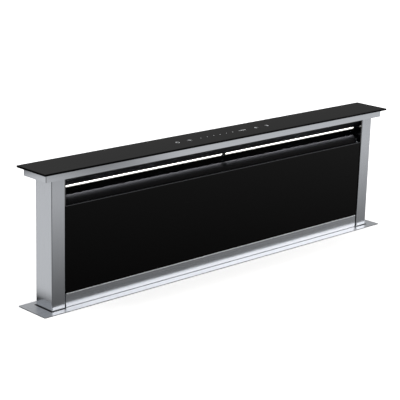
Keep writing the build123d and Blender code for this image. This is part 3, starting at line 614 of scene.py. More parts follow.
@dataclass(frozen=True)
class LitOpal(Finish):
    """Opal acrylic with a row of light-emitting diodes right behind it.

    Attributes:
        core: How bright the line right over the diodes is, where 1 is white.
        body: How bright the strip beside that line is.
        rim: What share of that is left at the strip's edges.
        core_mm: From where to where, off the middle, the core fades.
        rim_mm: The same for the edges.
        height_mm: The height of the diodes.
        ripple_mm: The length of one ripple, two diodes long, which the opal almost evens out.
        ripple_low: What share of the light is left between two ripples.
    """

    core: float = 4.0
    body: float = 1.3
    rim: float = 0.1
    core_mm: tuple[float, float] = (0.6, 1.5)
    rim_mm: tuple[float, float] = (1.2, 2.6)
    height_mm: float = 292.3
    ripple_mm: float = 16.2
    ripple_low: float = 0.95

    def dress(self, tree: bpy.types.NodeTree, shader: bpy.types.Node) -> None:
        """A glowing core that fades to the edges, with a faint ripple along the diodes.

        Args:
            tree: The material's node tree.
            shader: The Principled node.
        """
        ripple = add_node(
            tree, "TexWave", settings={"bands_direction": "X"}, values={"Scale": WAVE_CYCLE},
            links={"Vector": self.place(tree, [self.ripple_mm] * 3)},
        )
        axes = add_node(
            tree, "SeparateXYZ", links={"Vector": add_node(tree, "TexCoord").outputs["Object"]}
        )
        rise = add_node(
            tree, "Math", settings={"operation": "SUBTRACT"}, values={1: self.height_mm * MM},
            links={0: axes.outputs["Z"]},
        )
        off = add_node(
            tree, "Math", settings={"operation": "ABSOLUTE"}, links={0: rise.outputs["Value"]}
        )
        strength = spread(tree, ripple.outputs["Fac"], self.ripple_low, 1.0)
        for span, tones in ((self.core_mm, (self.core, self.body)), (self.rim_mm, (1.0, self.rim))):
            fade = ramp(tree, off.outputs["Value"], span, tones)
            strength = add_node(
                tree, "Math", settings={"operation": "MULTIPLY"}, links={0: strength, 1: fade}
            ).outputs["Value"]
        shader.inputs["Emission Color"].default_value = linear(self.colour)
        tree.links.new(strength, shader.inputs["Emission Strength"])


@dataclass(frozen=True)
class Printed(Finish):
    """Screen-printed ceramic ink, lit faintly from behind.

    Attributes:
        glow: How bright the mark is in the dark.
        mesh_mm: The print screen's step.
    """

    tone_sway: float = 0.08
    glow: float = 0.4
    mesh_mm: float = 0.3

    def dress(self, tree: bpy.types.NodeTree, shader: bpy.types.Node) -> None:
        """Ink with the slight unevenness of the screen.

        Args:
            tree: The material's node tree.
            shader: The Principled node.
        """
        screen = add_node(
            tree, "TexNoise", values={"Scale": 1.0},
            links={"Vector": self.place(tree, [self.mesh_mm] * 3)},
        )
        self.tint(tree, shader, screen.outputs["Fac"])
        shader.inputs["Emission Color"].default_value = linear(self.colour)
        shader.inputs["Emission Strength"].default_value = self.glow


# Stainless sheet, linished: soft pale-grey mirror whose highlights run out across the brushing
STEEL_ALONG_X = BrushedSteel("brushed_stainless_along_width", "#CACDD2", 0.2, grain=Grain.ALONG_X)
STEEL_ALONG_Z = BrushedSteel("brushed_stainless_along_height", "#CACDD2", 0.2, grain=Grain.ALONG_Z)
# The same sheet, finer and coarser: the band mirrors the floor more sharply, the frame less
FINE_ALONG_X = BrushedSteel("fine_brushed_stainless_band", "#CACDD2", 0.07, grain=Grain.ALONG_X, pull=0.3)
FINE_ALONG_Y = BrushedSteel("fine_brushed_stainless_end", "#CACDD2", 0.07, grain=Grain.ALONG_Y, pull=0.3)
SATIN_FRAME = BrushedSteel("satin_stainless_frame", "#CACDD2", 0.32, grain=Grain.ALONG_X)
# Linished outside, with painted shade inside: a steel back whose inner side is painted dull black so that
# it vanishes in the slot
STEEL_PAINTED_SHADE_INSIDE = SteelWithPaintedShadeInside("brushed_stainless_painted_shade_inside", "#CACDD2", 0.2, grain=Grain.ALONG_X)
# Float glass back-painted black: an almost black sheet that only turns grey at a flat angle
BLACK_GLASS = BackPaintedGlass("back_painted_float_glass", "#060606", 0.03, gloss=0.07)
# The same glass with a wipe-clean coat: duller still, so that the touch marks stand out
COATED_GLASS = BackPaintedGlass("coated_back_painted_glass", "#050505", 0.05, gloss=0.03)
# Injection-moulded ABS from a polished mould: black that fades softly away from the lamps
GLOSS_ABS = Moulded("polished_black_abs", "#0A0A0B", 0.3, gloss=0.01, relief_mm=0.01)
# Cast acrylic, flame polished: a black mirror that repeats the lit strips
BLACK_ACRYLIC = BackPaintedGlass("polished_black_acrylic", "#050506", 0.02, gloss=0.9)
# Injection-moulded ABS and nylon from an eroded mould: dull black with a fine grain
MATT_ABS = Moulded("moulded_black_abs", "#141416", 0.5)
# Injection-moulded polypropylene: mid grey, slightly waxy
GREY_PP = Moulded("moulded_grey_polypropylene", "#5B5E61", 0.45)
# Extruded aluminium, dyed and anodised: satin black, and dark bronze-grey for the thin trim
BLACK_ANODISED = Anodised("black_anodised_aluminium", "#101116", 0.3)
DARK_ANODISED = Anodised("dark_anodised_aluminium", "#5F6063", 0.3, metallic=1.0)
# Rolled and punched aluminium, degreased: pale satin with faint lines
FILTER_ALUMINIUM = Anodised("satin_filter_aluminium", "#C9CBCE", 0.32, metallic=1.0)
# Powder-coated steel sheet: black with a light orange peel
BLACK_POWDER = PowderCoat("black_powder_coated_steel", "#111113", 0.45)
# Hot-dip galvanised sheet: cool grey with flat flakes that catch the light one by one
GALVANISED = ZincCoat("galvanised_sheet_steel", "#A9ADB1", 0.38)
# Electroplated zinc on deep-drawn cans: darker and smoother than the sheet
MOTOR_ZINC = ZincCoat("zinc_plated_motor_steel", "#8C9094", 0.3, spangle_mm=14.0)
# Centreless-ground steel bar: bright, with fine rings
GROUND_STEEL = Turned("ground_steel", "#BDBFC2", 0.2)
# Turned brass: warm yellow between the black carriages and the bright spindles
BRASS = Turned("turned_brass", "#C79A4B", 0.24)
# Extruded EPDM foam: dead black, so that the gap round the tower reads as a dark line
FOAM = Elastomer("black_epdm_foam", "#121213", 0.85)
# Solder mask on glass-fibre board: glossy dark green
CIRCUIT = PowderCoat("green_solder_mask", "#12482A", 0.3, peel_mm=3.0)
# Extruded opal acrylic over diodes: an even warm-white line of light
LIT_LENS = LitOpal("opal_acrylic_lit", "#FFFDF7", 0.4)
# Screen-printed ceramic ink, fired on: pale grey marks that stay readable on the black
LEGEND_INK = Printed("white_ceramic_ink", "#C9CBCE", 0.5)


class PaintShop:
    """Keeps one material for each finish, so that equal pieces share it."""

    def __init__(self) -> None:
        """Starts with no materials."""
        self.materials: dict[Finish, bpy.types.Material] = {}

    def material(self, finish: Finish) -> bpy.types.Material:
        """The finish's material, built at its first use.

        Args:
            finish: The finish.

        Returns:
            Its one material.
        """
        if finish not in self.materials:
            self.materials[finish] = finish.material()
        return self.materials[finish]


@dataclass
class SubAssembly:
    """Nodes and new pieces that are finished together.

    Attributes:
        nodes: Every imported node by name.
        shop: Where materials come from.
        pieces: The new pieces, in the order in which they were made.
    """

    nodes: Mapping[str, bpy.types.Object]
    shop: PaintShop
    pieces: list[bpy.types.Object] = field(default_factory=list)

    def coat(self, finish: Finish, *names: str) -> None:
        """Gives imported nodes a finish.

        Args:
            finish: The finish.
            names: The nodes that take it.
        """
        material = self.shop.material(finish)
        for name in names:
            node = self.nodes[name]
            if not node.material_slots:
                node.data.materials.append(material)
            for slot in node.material_slots:
                slot.material = material

    def add_piece(
        self, name: str, mesh: bmesh.types.BMesh, finish: Finish, body: Body, slot: str
    ) -> bpy.types.Object:
        """Makes a piece of a mesh and lets it ride on a body.

        Args:
            name: The piece's name.
            mesh: Its shape in metres, which is freed.
            finish: Its finish.
            body: The body that carries it.
            slot: The record's material slot; not used.

        Returns:
            The new object.
        """
        data = bpy.data.meshes.new(name)
        bmesh.ops.recalc_face_normals(mesh, faces=mesh.faces)
        mesh.to_mesh(data)
        mesh.free()
        data.materials.append(self.shop.material(finish))
        piece = bpy.data.objects.new(name, data)
        bpy.context.scene.collection.objects.link(piece)
        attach(piece, body.value)
        self.pieces.append(piece)
        return piece

    def finish(self) -> None:
        """Coats the nodes and adds the pieces. Each sub-assembly has its own."""
        raise NotImplementedError


@dataclass(frozen=True)
class ButtonHead:
    """A round-headed screw with a socket, seen from outside.

    Attributes:
        radius_mm: The head's radius.
        height_mm: How far the head stands out.
        round_share: How much of its height the rounding of its rim takes.
        round_steps: How many steps draw that rounding.
        flat_share: The width of the flat ring round the socket, as a share of the radius.
        slant_share: How far the socket's wall leans in, in the same way.
        socket_share: The socket's depth as a share of the height.
        sides: How many sides draw the round.
    """

    radius_mm: float = 3.0
    height_mm: float = 1.6
    round_share: float = 0.45
    round_steps: int = 3
    flat_share: float = 0.33
    slant_share: float = 0.02
    socket_share: float = 0.6
    sides: int = 20

    def add_to(self, mesh: bmesh.types.BMesh, seat_mm: Point, outwards: Point) -> None:
        """Adds one head to a mesh.

        Args:
            mesh: The mesh that takes it.
            seat_mm: The middle of the face that it sits on.
            outwards: The direction that the head points in.
        """
        radius, height = self.radius_mm * MM, self.height_mm * MM
        turn = Vector(outwards).to_track_quat("Z", "Y").to_matrix().to_4x4()
        seat = Matrix.Translation(Vector(seat_mm) * MM) @ turn
        made = bmesh.ops.create_cone(
            mesh, cap_ends=True, segments=self.sides, radius1=radius, radius2=radius, depth=height,
            matrix=seat @ Matrix.Translation((0, 0, height / 2)),
        )
        axis = seat.to_3x3() @ Vector((0, 0, 1))
        faces = {face for vert in made["verts"] for face in vert.link_faces}
        for face in faces:
            face.normal_update()
        crown = max(faces, key=lambda face: face.normal.dot(axis) * (len(face.verts) == self.sides))
        bmesh.ops.bevel(
            mesh, geom=list(crown.edges), offset=height * self.round_share,
            segments=self.round_steps, profile=0.5, affect="EDGES", material=-1,
        )
        peak = seat @ Vector((0, 0, height))
        top = [
            face for face in mesh.faces
            if len(face.verts) == self.sides and (face.calc_center_median() - peak).length < height / 2
        ]
        bmesh.ops.inset_region(mesh, faces=top, thickness=radius * self.flat_share, depth=0.0)
        bmesh.ops.inset_region(
            mesh, faces=top, thickness=radius * self.slant_share, depth=-height * self.socket_share
        )


@dataclass
class Legends:
    """The printed touch marks on the glass top, as flat shapes drawn on its face.

    Attributes:
        face_mm: The height of the glass's face.
        lift_mm: How thick the ink is.
        line_mm: The width of a drawn line.
        ring_line_mm: The width of a ring's line, heavier so that it shows at a distance.
        dot_sides: How many sides draw a filled round.
        ring_sides: How many sides draw a ring.
        tip_share: How far an arrow's middle stands towards its tip, as a share of its size.
    """

    face_mm: float
    lift_mm: float = 0.06
    line_mm: float = 1.2
    ring_line_mm: float = 1.5
    dot_sides: int = 20
    ring_sides: int = 32
    tip_share: float = 0.25

    def at(self, x: float, y: float) -> Matrix:
        """The matrix that moves a shape to a place on the glass, given in millimetres."""
        return Matrix.Translation(Vector((x, y, self.face_mm + self.lift_mm)) * MM)

    def bar(self, mesh: bmesh.types.BMesh, x: float, y: float, width: float, depth: float) -> None:
        """Adds a filled rectangle.

        Args:
            mesh: The mesh that takes it.
            x: Its middle along X.
            y: Its middle along Y.
            width: Its size along X.
            depth: Its size along Y.
        """
        scale = Matrix.Diagonal((width * MM, depth * MM, 1.0, 1.0))
        bmesh.ops.create_grid(
            mesh, x_segments=1, y_segments=1, size=0.5, matrix=self.at(x, y) @ scale
        )

    def dot(self, mesh: bmesh.types.BMesh, x: float, y: float, radius: float) -> None:
        """Adds a filled round.

        Args:
            mesh: The mesh that takes it.
            x: Its middle along X.
            y: Its middle along Y.
            radius: Its radius.
        """
        bmesh.ops.create_circle(
            mesh, cap_ends=True, segments=self.dot_sides, radius=radius * MM, matrix=self.at(x, y)
        )

    def ring(self, mesh: bmesh.types.BMesh, x: float, y: float, radius: float) -> None:
        """Adds a round line.

        Args:
            mesh: The mesh that takes it.
            x: Its middle along X.
            y: Its middle along Y.
            radius: Its outer radius.
        """
        made = bmesh.ops.create_circle(
            mesh, cap_ends=True, segments=self.ring_sides, radius=radius * MM, matrix=self.at(x, y)
        )
        disc = list({face for vert in made["verts"] for face in vert.link_faces})
        bmesh.ops.inset_region(
            mesh, faces=disc, thickness=self.ring_line_mm * MM, depth=0.0, use_boundary=True
        )
        bmesh.ops.delete(mesh, geom=disc, context="FACES_ONLY")

    def arrow(self, mesh: bmesh.types.BMesh, x: float, y: float, size: float, up: bool) -> None:
        """Adds a filled triangle over a short line.

        Args:
            mesh: The mesh that takes it.
            x: Its middle along X.
            y: Its middle along Y.
            size: The distance from the triangle's middle to its tip.
            up: Whether it points to the back, or else to the front.
        """
        way = 1 if up else -1
        turn = Matrix.Rotation(math.radians(90 * way), 4, "Z")
        bmesh.ops.create_circle(
            mesh, cap_ends=True, segments=3, radius=size * MM,
            matrix=self.at(x, y + way * size * self.tip_share) @ turn,
        )
        self.bar(mesh, x, y - way * size, 2 * size, self.line_mm)


@dataclass
class Head(SubAssembly):
    """The glass top, its stainless band and the tray between them.

    Attributes:
        row_y_mm: The line that the touch marks stand on, a little in front of the middle.
        power_x_mm: The on-off mark.
        power_radius_mm: Its ring's radius.
        lamp_x_mm: The lamp mark.
        lamp_radius_mm: Its ring's radius.
        ray_count: How many rays stand round it.
        ray_reach_mm: How far off its middle they stand.
        step_x_mm: The first of the fan's steps.
        step_pitch_mm: The distance between two steps.
        step_count: How many steps there are.
        step_radius_mm: The first step's dot.
        step_growth_mm: How much each further dot is larger.
        timer_x_mm: The first of the timer's bars.
        timer_bar_mm: The width of one of its bars and the distance to the next.
        timer_heights_mm: The depths of its bars.
        raise_x_mm: The mark that raises the tower.
        lower_x_mm: The mark that lowers it.
        arrow_mm: The size of these two marks.
    """

    row_y_mm: float = -2.2
    power_x_mm: float = -153.4
    power_radius_mm: float = 5.2
    lamp_x_mm: float = -113.2
    lamp_radius_mm: float = 3.8
    ray_count: int = 8
    ray_reach_mm: float = 6.6
    step_x_mm: float = -74.0
    step_pitch_mm: float = 22.6
    step_count: int = 6
    step_radius_mm: float = 1.35
    step_growth_mm: float = 0.05
    timer_x_mm: float = 64.0
    timer_bar_mm: tuple[float, float] = (4.4, 6.6)
    timer_heights_mm: tuple[float, ...] = (2.4, 4.0, 5.6, 4.0)
    raise_x_mm: float = 124.0
    lower_x_mm: float = 167.3
    arrow_mm: float = 4.6

    def finish(self) -> None:
        """Black glass over brushed steel, with the touch marks on it."""
        self.coat(COATED_GLASS, "glass_top")
        self.coat(FINE_ALONG_X, "band_front", "band_rear")
        self.coat(FINE_ALONG_Y, "band_end_left", "band_end_right")
        self.coat(BLACK_POWDER, "head_tray")
        self.coat(CIRCUIT, "touch_key_board")
        self.add_piece("touch_marks", self.marks(), LEGEND_INK, Body.TOWER, "lamp_lens")

    def marks(self) -> bmesh.types.BMesh:
        """Draws plain marks of no maker's own: rings, rays, dots, bars and arrows.

        Returns:
            Their flat shapes.
        """
        ink = Legends(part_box("glass_top")[1].z / MM)
        mesh = bmesh.new()
        y = self.row_y_mm
        ink.ring(mesh, self.power_x_mm, y, self.power_radius_mm)
        ink.bar(mesh, self.power_x_mm, y + self.power_radius_mm, ink.line_mm, self.power_radius_mm)
        ink.ring(mesh, self.lamp_x_mm, y, self.lamp_radius_mm)
        for ray in range(self.ray_count):
            way = Vector((self.ray_reach_mm, 0.0))
            way.rotate(Matrix.Rotation(math.tau * ray / self.ray_count, 2))
            ink.dot(mesh, self.lamp_x_mm + way.x, y + way.y, ink.line_mm / 2)
        for step in range(self.step_count):
            x = self.step_x_mm + step * self.step_pitch_mm
            ink.dot(mesh, x, y, self.step_radius_mm + self.step_growth_mm * step)
        width, pitch = self.timer_bar_mm
        for bar, height in enumerate(self.timer_heights_mm):
            ink.bar(mesh, self.timer_x_mm + pitch * bar, y, width, height)
        ink.arrow(mesh, self.raise_x_mm, y, self.arrow_mm, up=True)
        ink.arrow(mesh, self.lower_x_mm, y, self.arrow_mm, up=False)
        return mesh


@dataclass
class Tower(SubAssembly):
    """Columns, back sheet, front strip and the screws of the back.

    Attributes:
        screw_inset_mm: How far the back's screws stand in from its edges.
        screw_columns: How many screws stand side by side.
        screw_rows_mm: The heights of the two rows.
    """

    screw_inset_mm: float = 16.0
    screw_columns: int = 6
    screw_rows_mm: tuple[float, float] = (22.0, 300.0)

    def finish(self) -> None:
        """Brushed steel outside and zinc-coated steel inside."""
        self.coat(STEEL_ALONG_Z, "side_column_left", "side_column_right")
        self.coat(STEEL_ALONG_X, "front_strip")
        self.coat(STEEL_PAINTED_SHADE_INSIDE, "rear_panel")
        self.coat(GALVANISED, "foot_frame", "filter_rails")
        self.add_piece(
            "rear_panel_screws", self.rear_screws(), GROUND_STEEL, Body.TOWER, "steel"
        )

    def rear_screws(self) -> bmesh.types.BMesh:
        """Two rows of screws along the back sheet.

        Returns:
            Their heads.
        """
        low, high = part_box("rear_panel")
        head = ButtonHead()
        mesh = bmesh.new()
        start, end = low.x / MM + self.screw_inset_mm, high.x / MM - self.screw_inset_mm
        step = (end - start) / (self.screw_columns - 1)
        for height in self.screw_rows_mm:
            for column in range(self.screw_columns):
                head.add_to(mesh, (start + column * step, high.y / MM, height), (0, 1, 0))
        return mesh


@dataclass
class Slot(SubAssembly):
    """The intake slot: lamps, vane and glossy ends.

    Attributes:
        bar_radiance: How bright the diodes are through the opal, where 1 is white.
        bar_width_mm: The width of the lit field.
        bar_gap_mm: How far the light starts off the middle of the opal.
        opal_face: The way that the opal faces, down to the hob.
        bar_aim: The way of the light, steeply down on the vane.
        bar_fan_deg: The angle that the light fans out over.
    """

    bar_radiance: float = 350.0
    bar_width_mm: float = 2.0
    bar_gap_mm: float = 2.5
    opal_face: Point = (0.0, -0.821, -0.571)
    bar_aim: Point = (0.0, 0.25, -1.0)
    bar_fan_deg: float = 56.0

    def finish(self) -> None:
        """Lit opal strips between black faces that mirror them."""
        self.coat(BLACK_ANODISED, "lamp_housing")
        self.coat(LIT_LENS, "lamp_diffuser_left", "lamp_diffuser_right")
        self.coat(CIRCUIT, "led_boards")
        self.coat(GLOSS_ABS, "air_guide_vane")
        self.coat(BLACK_ACRYLIC, "slot_cheeks")
        for side in ("left", "right"):
            self.light_bar(f"lamp_diffuser_{side}")

    def light_bar(self, node: str) -> None:
        """Sets the light of one row of diodes right in front of its opal.

        Args:
            node: The opal strip.
        """
        low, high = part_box(node)
        length, width = high.x - low.x, self.bar_width_mm * MM
        data = bpy.data.lights.new(f"{node}_light", "AREA")
        data.shape = "RECTANGLE"
        data.size, data.size_y = length, width
        data.energy = self.bar_radiance * math.pi * length * width
        data.spread = math.radians(self.bar_fan_deg)
        back = -Vector(self.bar_aim).normalized()
        across = Vector((1.0, 0.0, 0.0))
        turn = Matrix((across, back.cross(across), back)).transposed()
        place = (low + high) / 2 + Vector(self.opal_face) * self.bar_gap_mm * MM
        lamp = bpy.data.objects.new(f"{node}_light", data)
        lamp.matrix_world = Matrix.Translation(place) @ turn.to_4x4()
        lamp.visible_camera = False
        bpy.context.scene.collection.objects.link(lamp)
        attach(lamp, Body.TOWER.value)


@dataclass
class FilterDoor(SubAssembly):
    """The black glass front panel, and the filters behind it."""

    def finish(self) -> None:
        """Black glass with a dark metal line along its top."""
        self.coat(BLACK_GLASS, "front_glass")
        self.coat(BLACK_POWDER, "panel_frame")
        self.coat(DARK_ANODISED, "panel_top_trim")
        self.coat(MATT_ABS, "panel_hinge_bushes", "panel_catches")
        self.coat(
            FILTER_ALUMINIUM, "grease_filter_left", "grease_filter_middle", "grease_filter_right"
        )


@dataclass
class Lift(SubAssembly):
    """Spindle drives, carriages and guides.

    Attributes:
        thread_lead_mm: How far one turn of the spindle moves the tower.
        thread_starts: How many threads run side by side.
        thread_depth_mm: How deep the thread is cut.
        root_share: The ridge's width at its foot, as a share of the step to the next.
        crest_share: Its width at its crest, in the same way.
        rooting_share: The radius that a ridge starts from, as a share of the core's.
        journal_radius_mm: The radius of the plain ends.
        thread_foot_mm: How far over the bearing block's foot the thread starts.
        thread_end_mm: How far over the nut it ends.
        steps_per_turn: How many steps draw one turn.
        bar_sides: How many sides draw the core and the journals.
    """

    thread_lead_mm: float = 20.0
    thread_starts: int = 4
    thread_depth_mm: float = 1.3
    root_share: float = 0.62
    crest_share: float = 0.34
    rooting_share: float = 0.9
    journal_radius_mm: float = 4.0
    thread_foot_mm: float = 16.2
    thread_end_mm: float = 10.3
    steps_per_turn: int = 20
    bar_sides: int = 24

    def finish(self) -> None:
        """Threaded spindles in brass nuts between moulded blocks."""
        self.coat(MATT_ABS, "lift_carriage_left", "lift_carriage_right", "bearing_blocks")
        self.coat(BRASS, "spindle_nut_left", "spindle_nut_right", "guide_bushes")
        self.coat(GROUND_STEEL, "guide_rods", "lead_screw_left", "lead_screw_right")
        self.coat(MOTOR_ZINC, "drive_motor_left", "drive_motor_right")
        for side, body in (("left", Body.SCREW_LEFT), ("right", Body.SCREW_RIGHT)):
            node = f"lead_screw_{side}"
            spindle = self.add_piece(
                f"threaded_spindle_{side}", self.spindle(node), GROUND_STEEL, body, "steel"
            )
            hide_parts(node)

    def spindle(self, node: str) -> bmesh.types.BMesh:
        """A multi-start spindle in the space of its plain solid.

        Args:
            node: The plain spindle.

        Returns:
            Its mesh: a core, two journals and a helical ridge for each start.
        """
        low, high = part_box(node)
        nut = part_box(f"spindle_nut_{node.rsplit('_', 1)[1]}")
        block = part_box("bearing_blocks")
        centre = Vector(((low.x + high.x) / 2, (low.y + high.y) / 2, 0.0))
        radius = (high.x - low.x) / 2
        core = radius - self.thread_depth_mm * MM
        journal = self.journal_radius_mm * MM
        thread_low = block[0].z + self.thread_foot_mm * MM
        thread_high = nut[1].z + self.thread_end_mm * MM
        mesh = bmesh.new()
        for bar_radius, z0, z1 in ((journal, low.z, high.z), (core, thread_low, thread_high)):
            bmesh.ops.create_cone(
                mesh, cap_ends=True, segments=self.bar_sides, radius1=bar_radius,
                radius2=bar_radius, depth=z1 - z0,
                matrix=Matrix.Translation((centre.x, centre.y, (z0 + z1) / 2)),
            )
        pitch = self.thread_lead_mm / self.thread_starts * MM
        length = thread_high - thread_low - pitch
        turns = length / (self.thread_lead_mm * MM)
        for start in range(self.thread_starts):
            self.ridge(mesh, centre, core, radius, thread_low, pitch, turns, start)
        return mesh

    def ridge(
        self, mesh: bmesh.types.BMesh, centre: Vector, core: float, radius: float, foot: float,
        pitch: float, turns: float, start: int,
    ) -> None:
        """Winds one trapezoidal ridge round the core.

        Args:
            mesh: The mesh that takes it.
            centre: A point on the spindle's axis.
            core: The core's radius.
            radius: The ridge's outer radius.
            foot: The height at which it starts.
            pitch: The distance to the next ridge.
            turns: How many turns it makes.
            start: Its number among the starts.
        """
        root, crest = pitch * self.root_share, pitch * self.crest_share
        inner = core * self.rooting_share
        corners = [
            (inner, 0.0), (radius, (root - crest) / 2), (radius, (root + crest) / 2), (inner, root),
        ]
        turn = Matrix.Rotation(math.tau * start / self.thread_starts, 3, "Z")
        verts = [
            mesh.verts.new(centre + turn @ Vector((reach, 0.0, 0.0)) + Vector((0, 0, foot + rise)))
            for reach, rise in corners
        ]
        face = mesh.faces.new(verts)
        steps = int(turns * self.steps_per_turn)
        bmesh.ops.spin(
            mesh, geom=[face, *face.edges, *verts], cent=centre, axis=(0, 0, 1),
            dvec=(0, 0, turns * self.thread_lead_mm * MM / steps), angle=math.tau * turns, steps=steps,
            use_merge=False, use_normal_flip=False, use_duplicate=False,
        )


@dataclass
class Chassis(SubAssembly):
    """The sheet box, the flange on the worktop and what hangs on the box.

    Attributes:
        opening_gap_mm: The gap between the flange and a column.
        lip_width_mm: How far the wiper's lip reaches over the flange.
        lip_height_mm: How far it stands up.
        lip_round_share: How much of its height the rounding of its edges takes.
        lip_round_steps: How many steps draw that rounding.
        lid_screw_inset_mm: How far the lid's screws stand in from its corners.
        motor_screw_count: How many screws hold the fan motor.
        motor_screw_radius_mm: The radius of their heads.
        motor_screw_circle_mm: The radius of the circle that they stand on.
        motor_flange_mm: How thick the fan motor's flange is, from its far face.
    """

    opening_gap_mm: float = 1.5
    lip_width_mm: float = 2.2
    lip_height_mm: float = 0.25
    lip_round_share: float = 0.5
    lip_round_steps: int = 2
    lid_screw_inset_mm: float = 9.0
    motor_screw_count: int = 4
    motor_screw_radius_mm: float = 2.6
    motor_screw_circle_mm: float = 49.0
    motor_flange_mm: float = 2.5

    def finish(self) -> None:
        """Brushed steel above the worktop, zinc-coated steel and mouldings below it."""
        self.coat(SATIN_FRAME, "worktop_flange")
        self.coat(FOAM, "flange_gasket", "wiper_seal")
        self.coat(
            GALVANISED, "chassis_front", "chassis_rear", "chassis_side_left", "chassis_side_right",
            "chassis_base", "fixing_feet",
        )
        self.coat(
            GREY_PP, "blower_scroll", "blower_inlet_plate", "outlet_transition", "duct_collar",
            "damper_leaf_front", "damper_leaf_rear",
        )
        self.coat(MATT_ABS, "impeller", "control_box", "control_box_lid", "cable_gland")
        self.coat(GROUND_STEEL, "impeller_shaft", "damper_pin")
        self.coat(MOTOR_ZINC, "fan_motor")
        self.add_piece("wiper_lips", self.wiper_lips(), FOAM, Body.CHASSIS, "foam")
        self.add_piece(
            "control_box_screws", self.lid_screws(), GROUND_STEEL, Body.CHASSIS, "steel"
        )
        self.add_piece(
            "fan_motor_screws", self.motor_screws(), GROUND_STEEL, Body.CHASSIS, "steel"
        )

    def wiper_lips(self) -> bmesh.types.BMesh:
        """The lips of the wiper that stand out of the flange's opening round each column's foot.

        Returns:
            One U-shaped lip for each column.
        """
        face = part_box("worktop_flange")[1].z
        lip, lift = self.lip_width_mm * MM, self.lip_height_mm * MM
        gap = self.opening_gap_mm * MM
        mesh = bmesh.new()
        for side in ("left", "right"):
            low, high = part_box(f"side_column_{side}")
            outwards = 1 if side == "right" else -1
            inner, outer = (low.x, high.x) if side == "right" else (high.x, low.x)
            edge = outer + outwards * gap
            far = edge + outwards * lip
            front, back = low.y - gap, high.y + gap
            outline = (
                (inner, front - lip), (far, front - lip), (far, back + lip), (inner, back + lip),
                (inner, back), (edge, back), (edge, front), (inner, front),
            )
            foot = mesh.faces.new([mesh.verts.new((x, y, face)) for x, y in outline])
            raised = bmesh.ops.extrude_face_region(mesh, geom=[foot])["geom"]
            top = {part for part in raised if isinstance(part, bmesh.types.BMVert)}
            bmesh.ops.translate(mesh, verts=list(top), vec=(0, 0, lift))
            rim = [line for line in mesh.edges if set(line.verts) <= top]
            bmesh.ops.bevel(
                mesh, geom=rim, offset=lift * self.lip_round_share, segments=self.lip_round_steps,
                profile=0.5, affect="EDGES", material=-1,
            )
        return mesh

    def lid_screws(self) -> bmesh.types.BMesh:
        """A screw in each corner of the control box's lid.

        Returns:
            Their heads.
        """
        low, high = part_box("control_box_lid")
        inset = self.lid_screw_inset_mm
        mesh = bmesh.new()
        for x in (low.x / MM + inset, high.x / MM - inset):
            for z in (low.z / MM + inset, high.z / MM - inset):
                ButtonHead().add_to(mesh, (x, low.y / MM, z), (0, -1, 0))
        return mesh

    def motor_screws(self) -> bmesh.types.BMesh:
        """The screws through the fan motor's flange.

        Returns:
            Their heads.
        """
        low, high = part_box("fan_motor")
        centre_x, centre_z = (low.x + high.x) / 2 / MM, (low.z + high.z) / 2 / MM
        face = high.y / MM - self.motor_flange_mm
        head = ButtonHead(radius_mm=self.motor_screw_radius_mm)
        reach = self.motor_screw_circle_mm
        mesh = bmesh.new()
        for screw in range(self.motor_screw_count):
            angle = math.tau * (screw + 0.5) / self.motor_screw_count
            seat = (centre_x + reach * math.cos(angle), face, centre_z + reach * math.sin(angle))
            head.add_to(mesh, seat, (0, -1, 0))
        return mesh


@dataclass(frozen=True)
class Viewpoint:
    """The camera of the photograph, solved from the object's straight edges.

    Attributes:
        place_mm: Where the camera stands.
        yaw_deg: How far it is turned to the right of +Y.
        pitch_deg: How far it looks down.
        roll_deg: How far it is tipped.
        focal_px: Its focal length in pixels of the frame.
        frame_px: The frame's width in pixels.
        sensor_mm: The width of its sensor.
    """

    place_mm: Point = (-2334.7, -2358.5, 1103.3)
    yaw_deg: float = 43.85
    pitch_deg: float = 15.785
    roll_deg: float = 1.558
    focal_px: float = 1328.9
    frame_px: int = 400
    sensor_mm: float = 36.0

    def build(self) -> bpy.types.Object:
        """Makes the camera and sets it as the scene's own.

        Returns:
            The camera.
        """
        yaw, pitch, roll = (math.radians(a) for a in (self.yaw_deg, self.pitch_deg, self.roll_deg))
        forward = Vector(
            (math.sin(yaw) * math.cos(pitch), math.cos(yaw) * math.cos(pitch), -math.sin(pitch))
        )
        level = Vector((math.cos(yaw), -math.sin(yaw), 0.0))
        above = level.cross(forward)
        right = math.cos(roll) * level + math.sin(roll) * above
        up = -math.sin(roll) * level + math.cos(roll) * above
        turn = Matrix((right, up, -forward)).transposed()
        data = bpy.data.cameras.new("photo_camera")
        data.sensor_width = self.sensor_mm
        data.lens = self.focal_px / self.frame_px * self.sensor_mm
        camera = bpy.data.objects.new("photo_camera", data)
        camera.matrix_world = Matrix.Translation(Vector(self.place_mm) * MM) @ turn.to_4x4()
        bpy.context.scene.collection.objects.link(camera)
        bpy.context.scene.camera = camera
        return camera


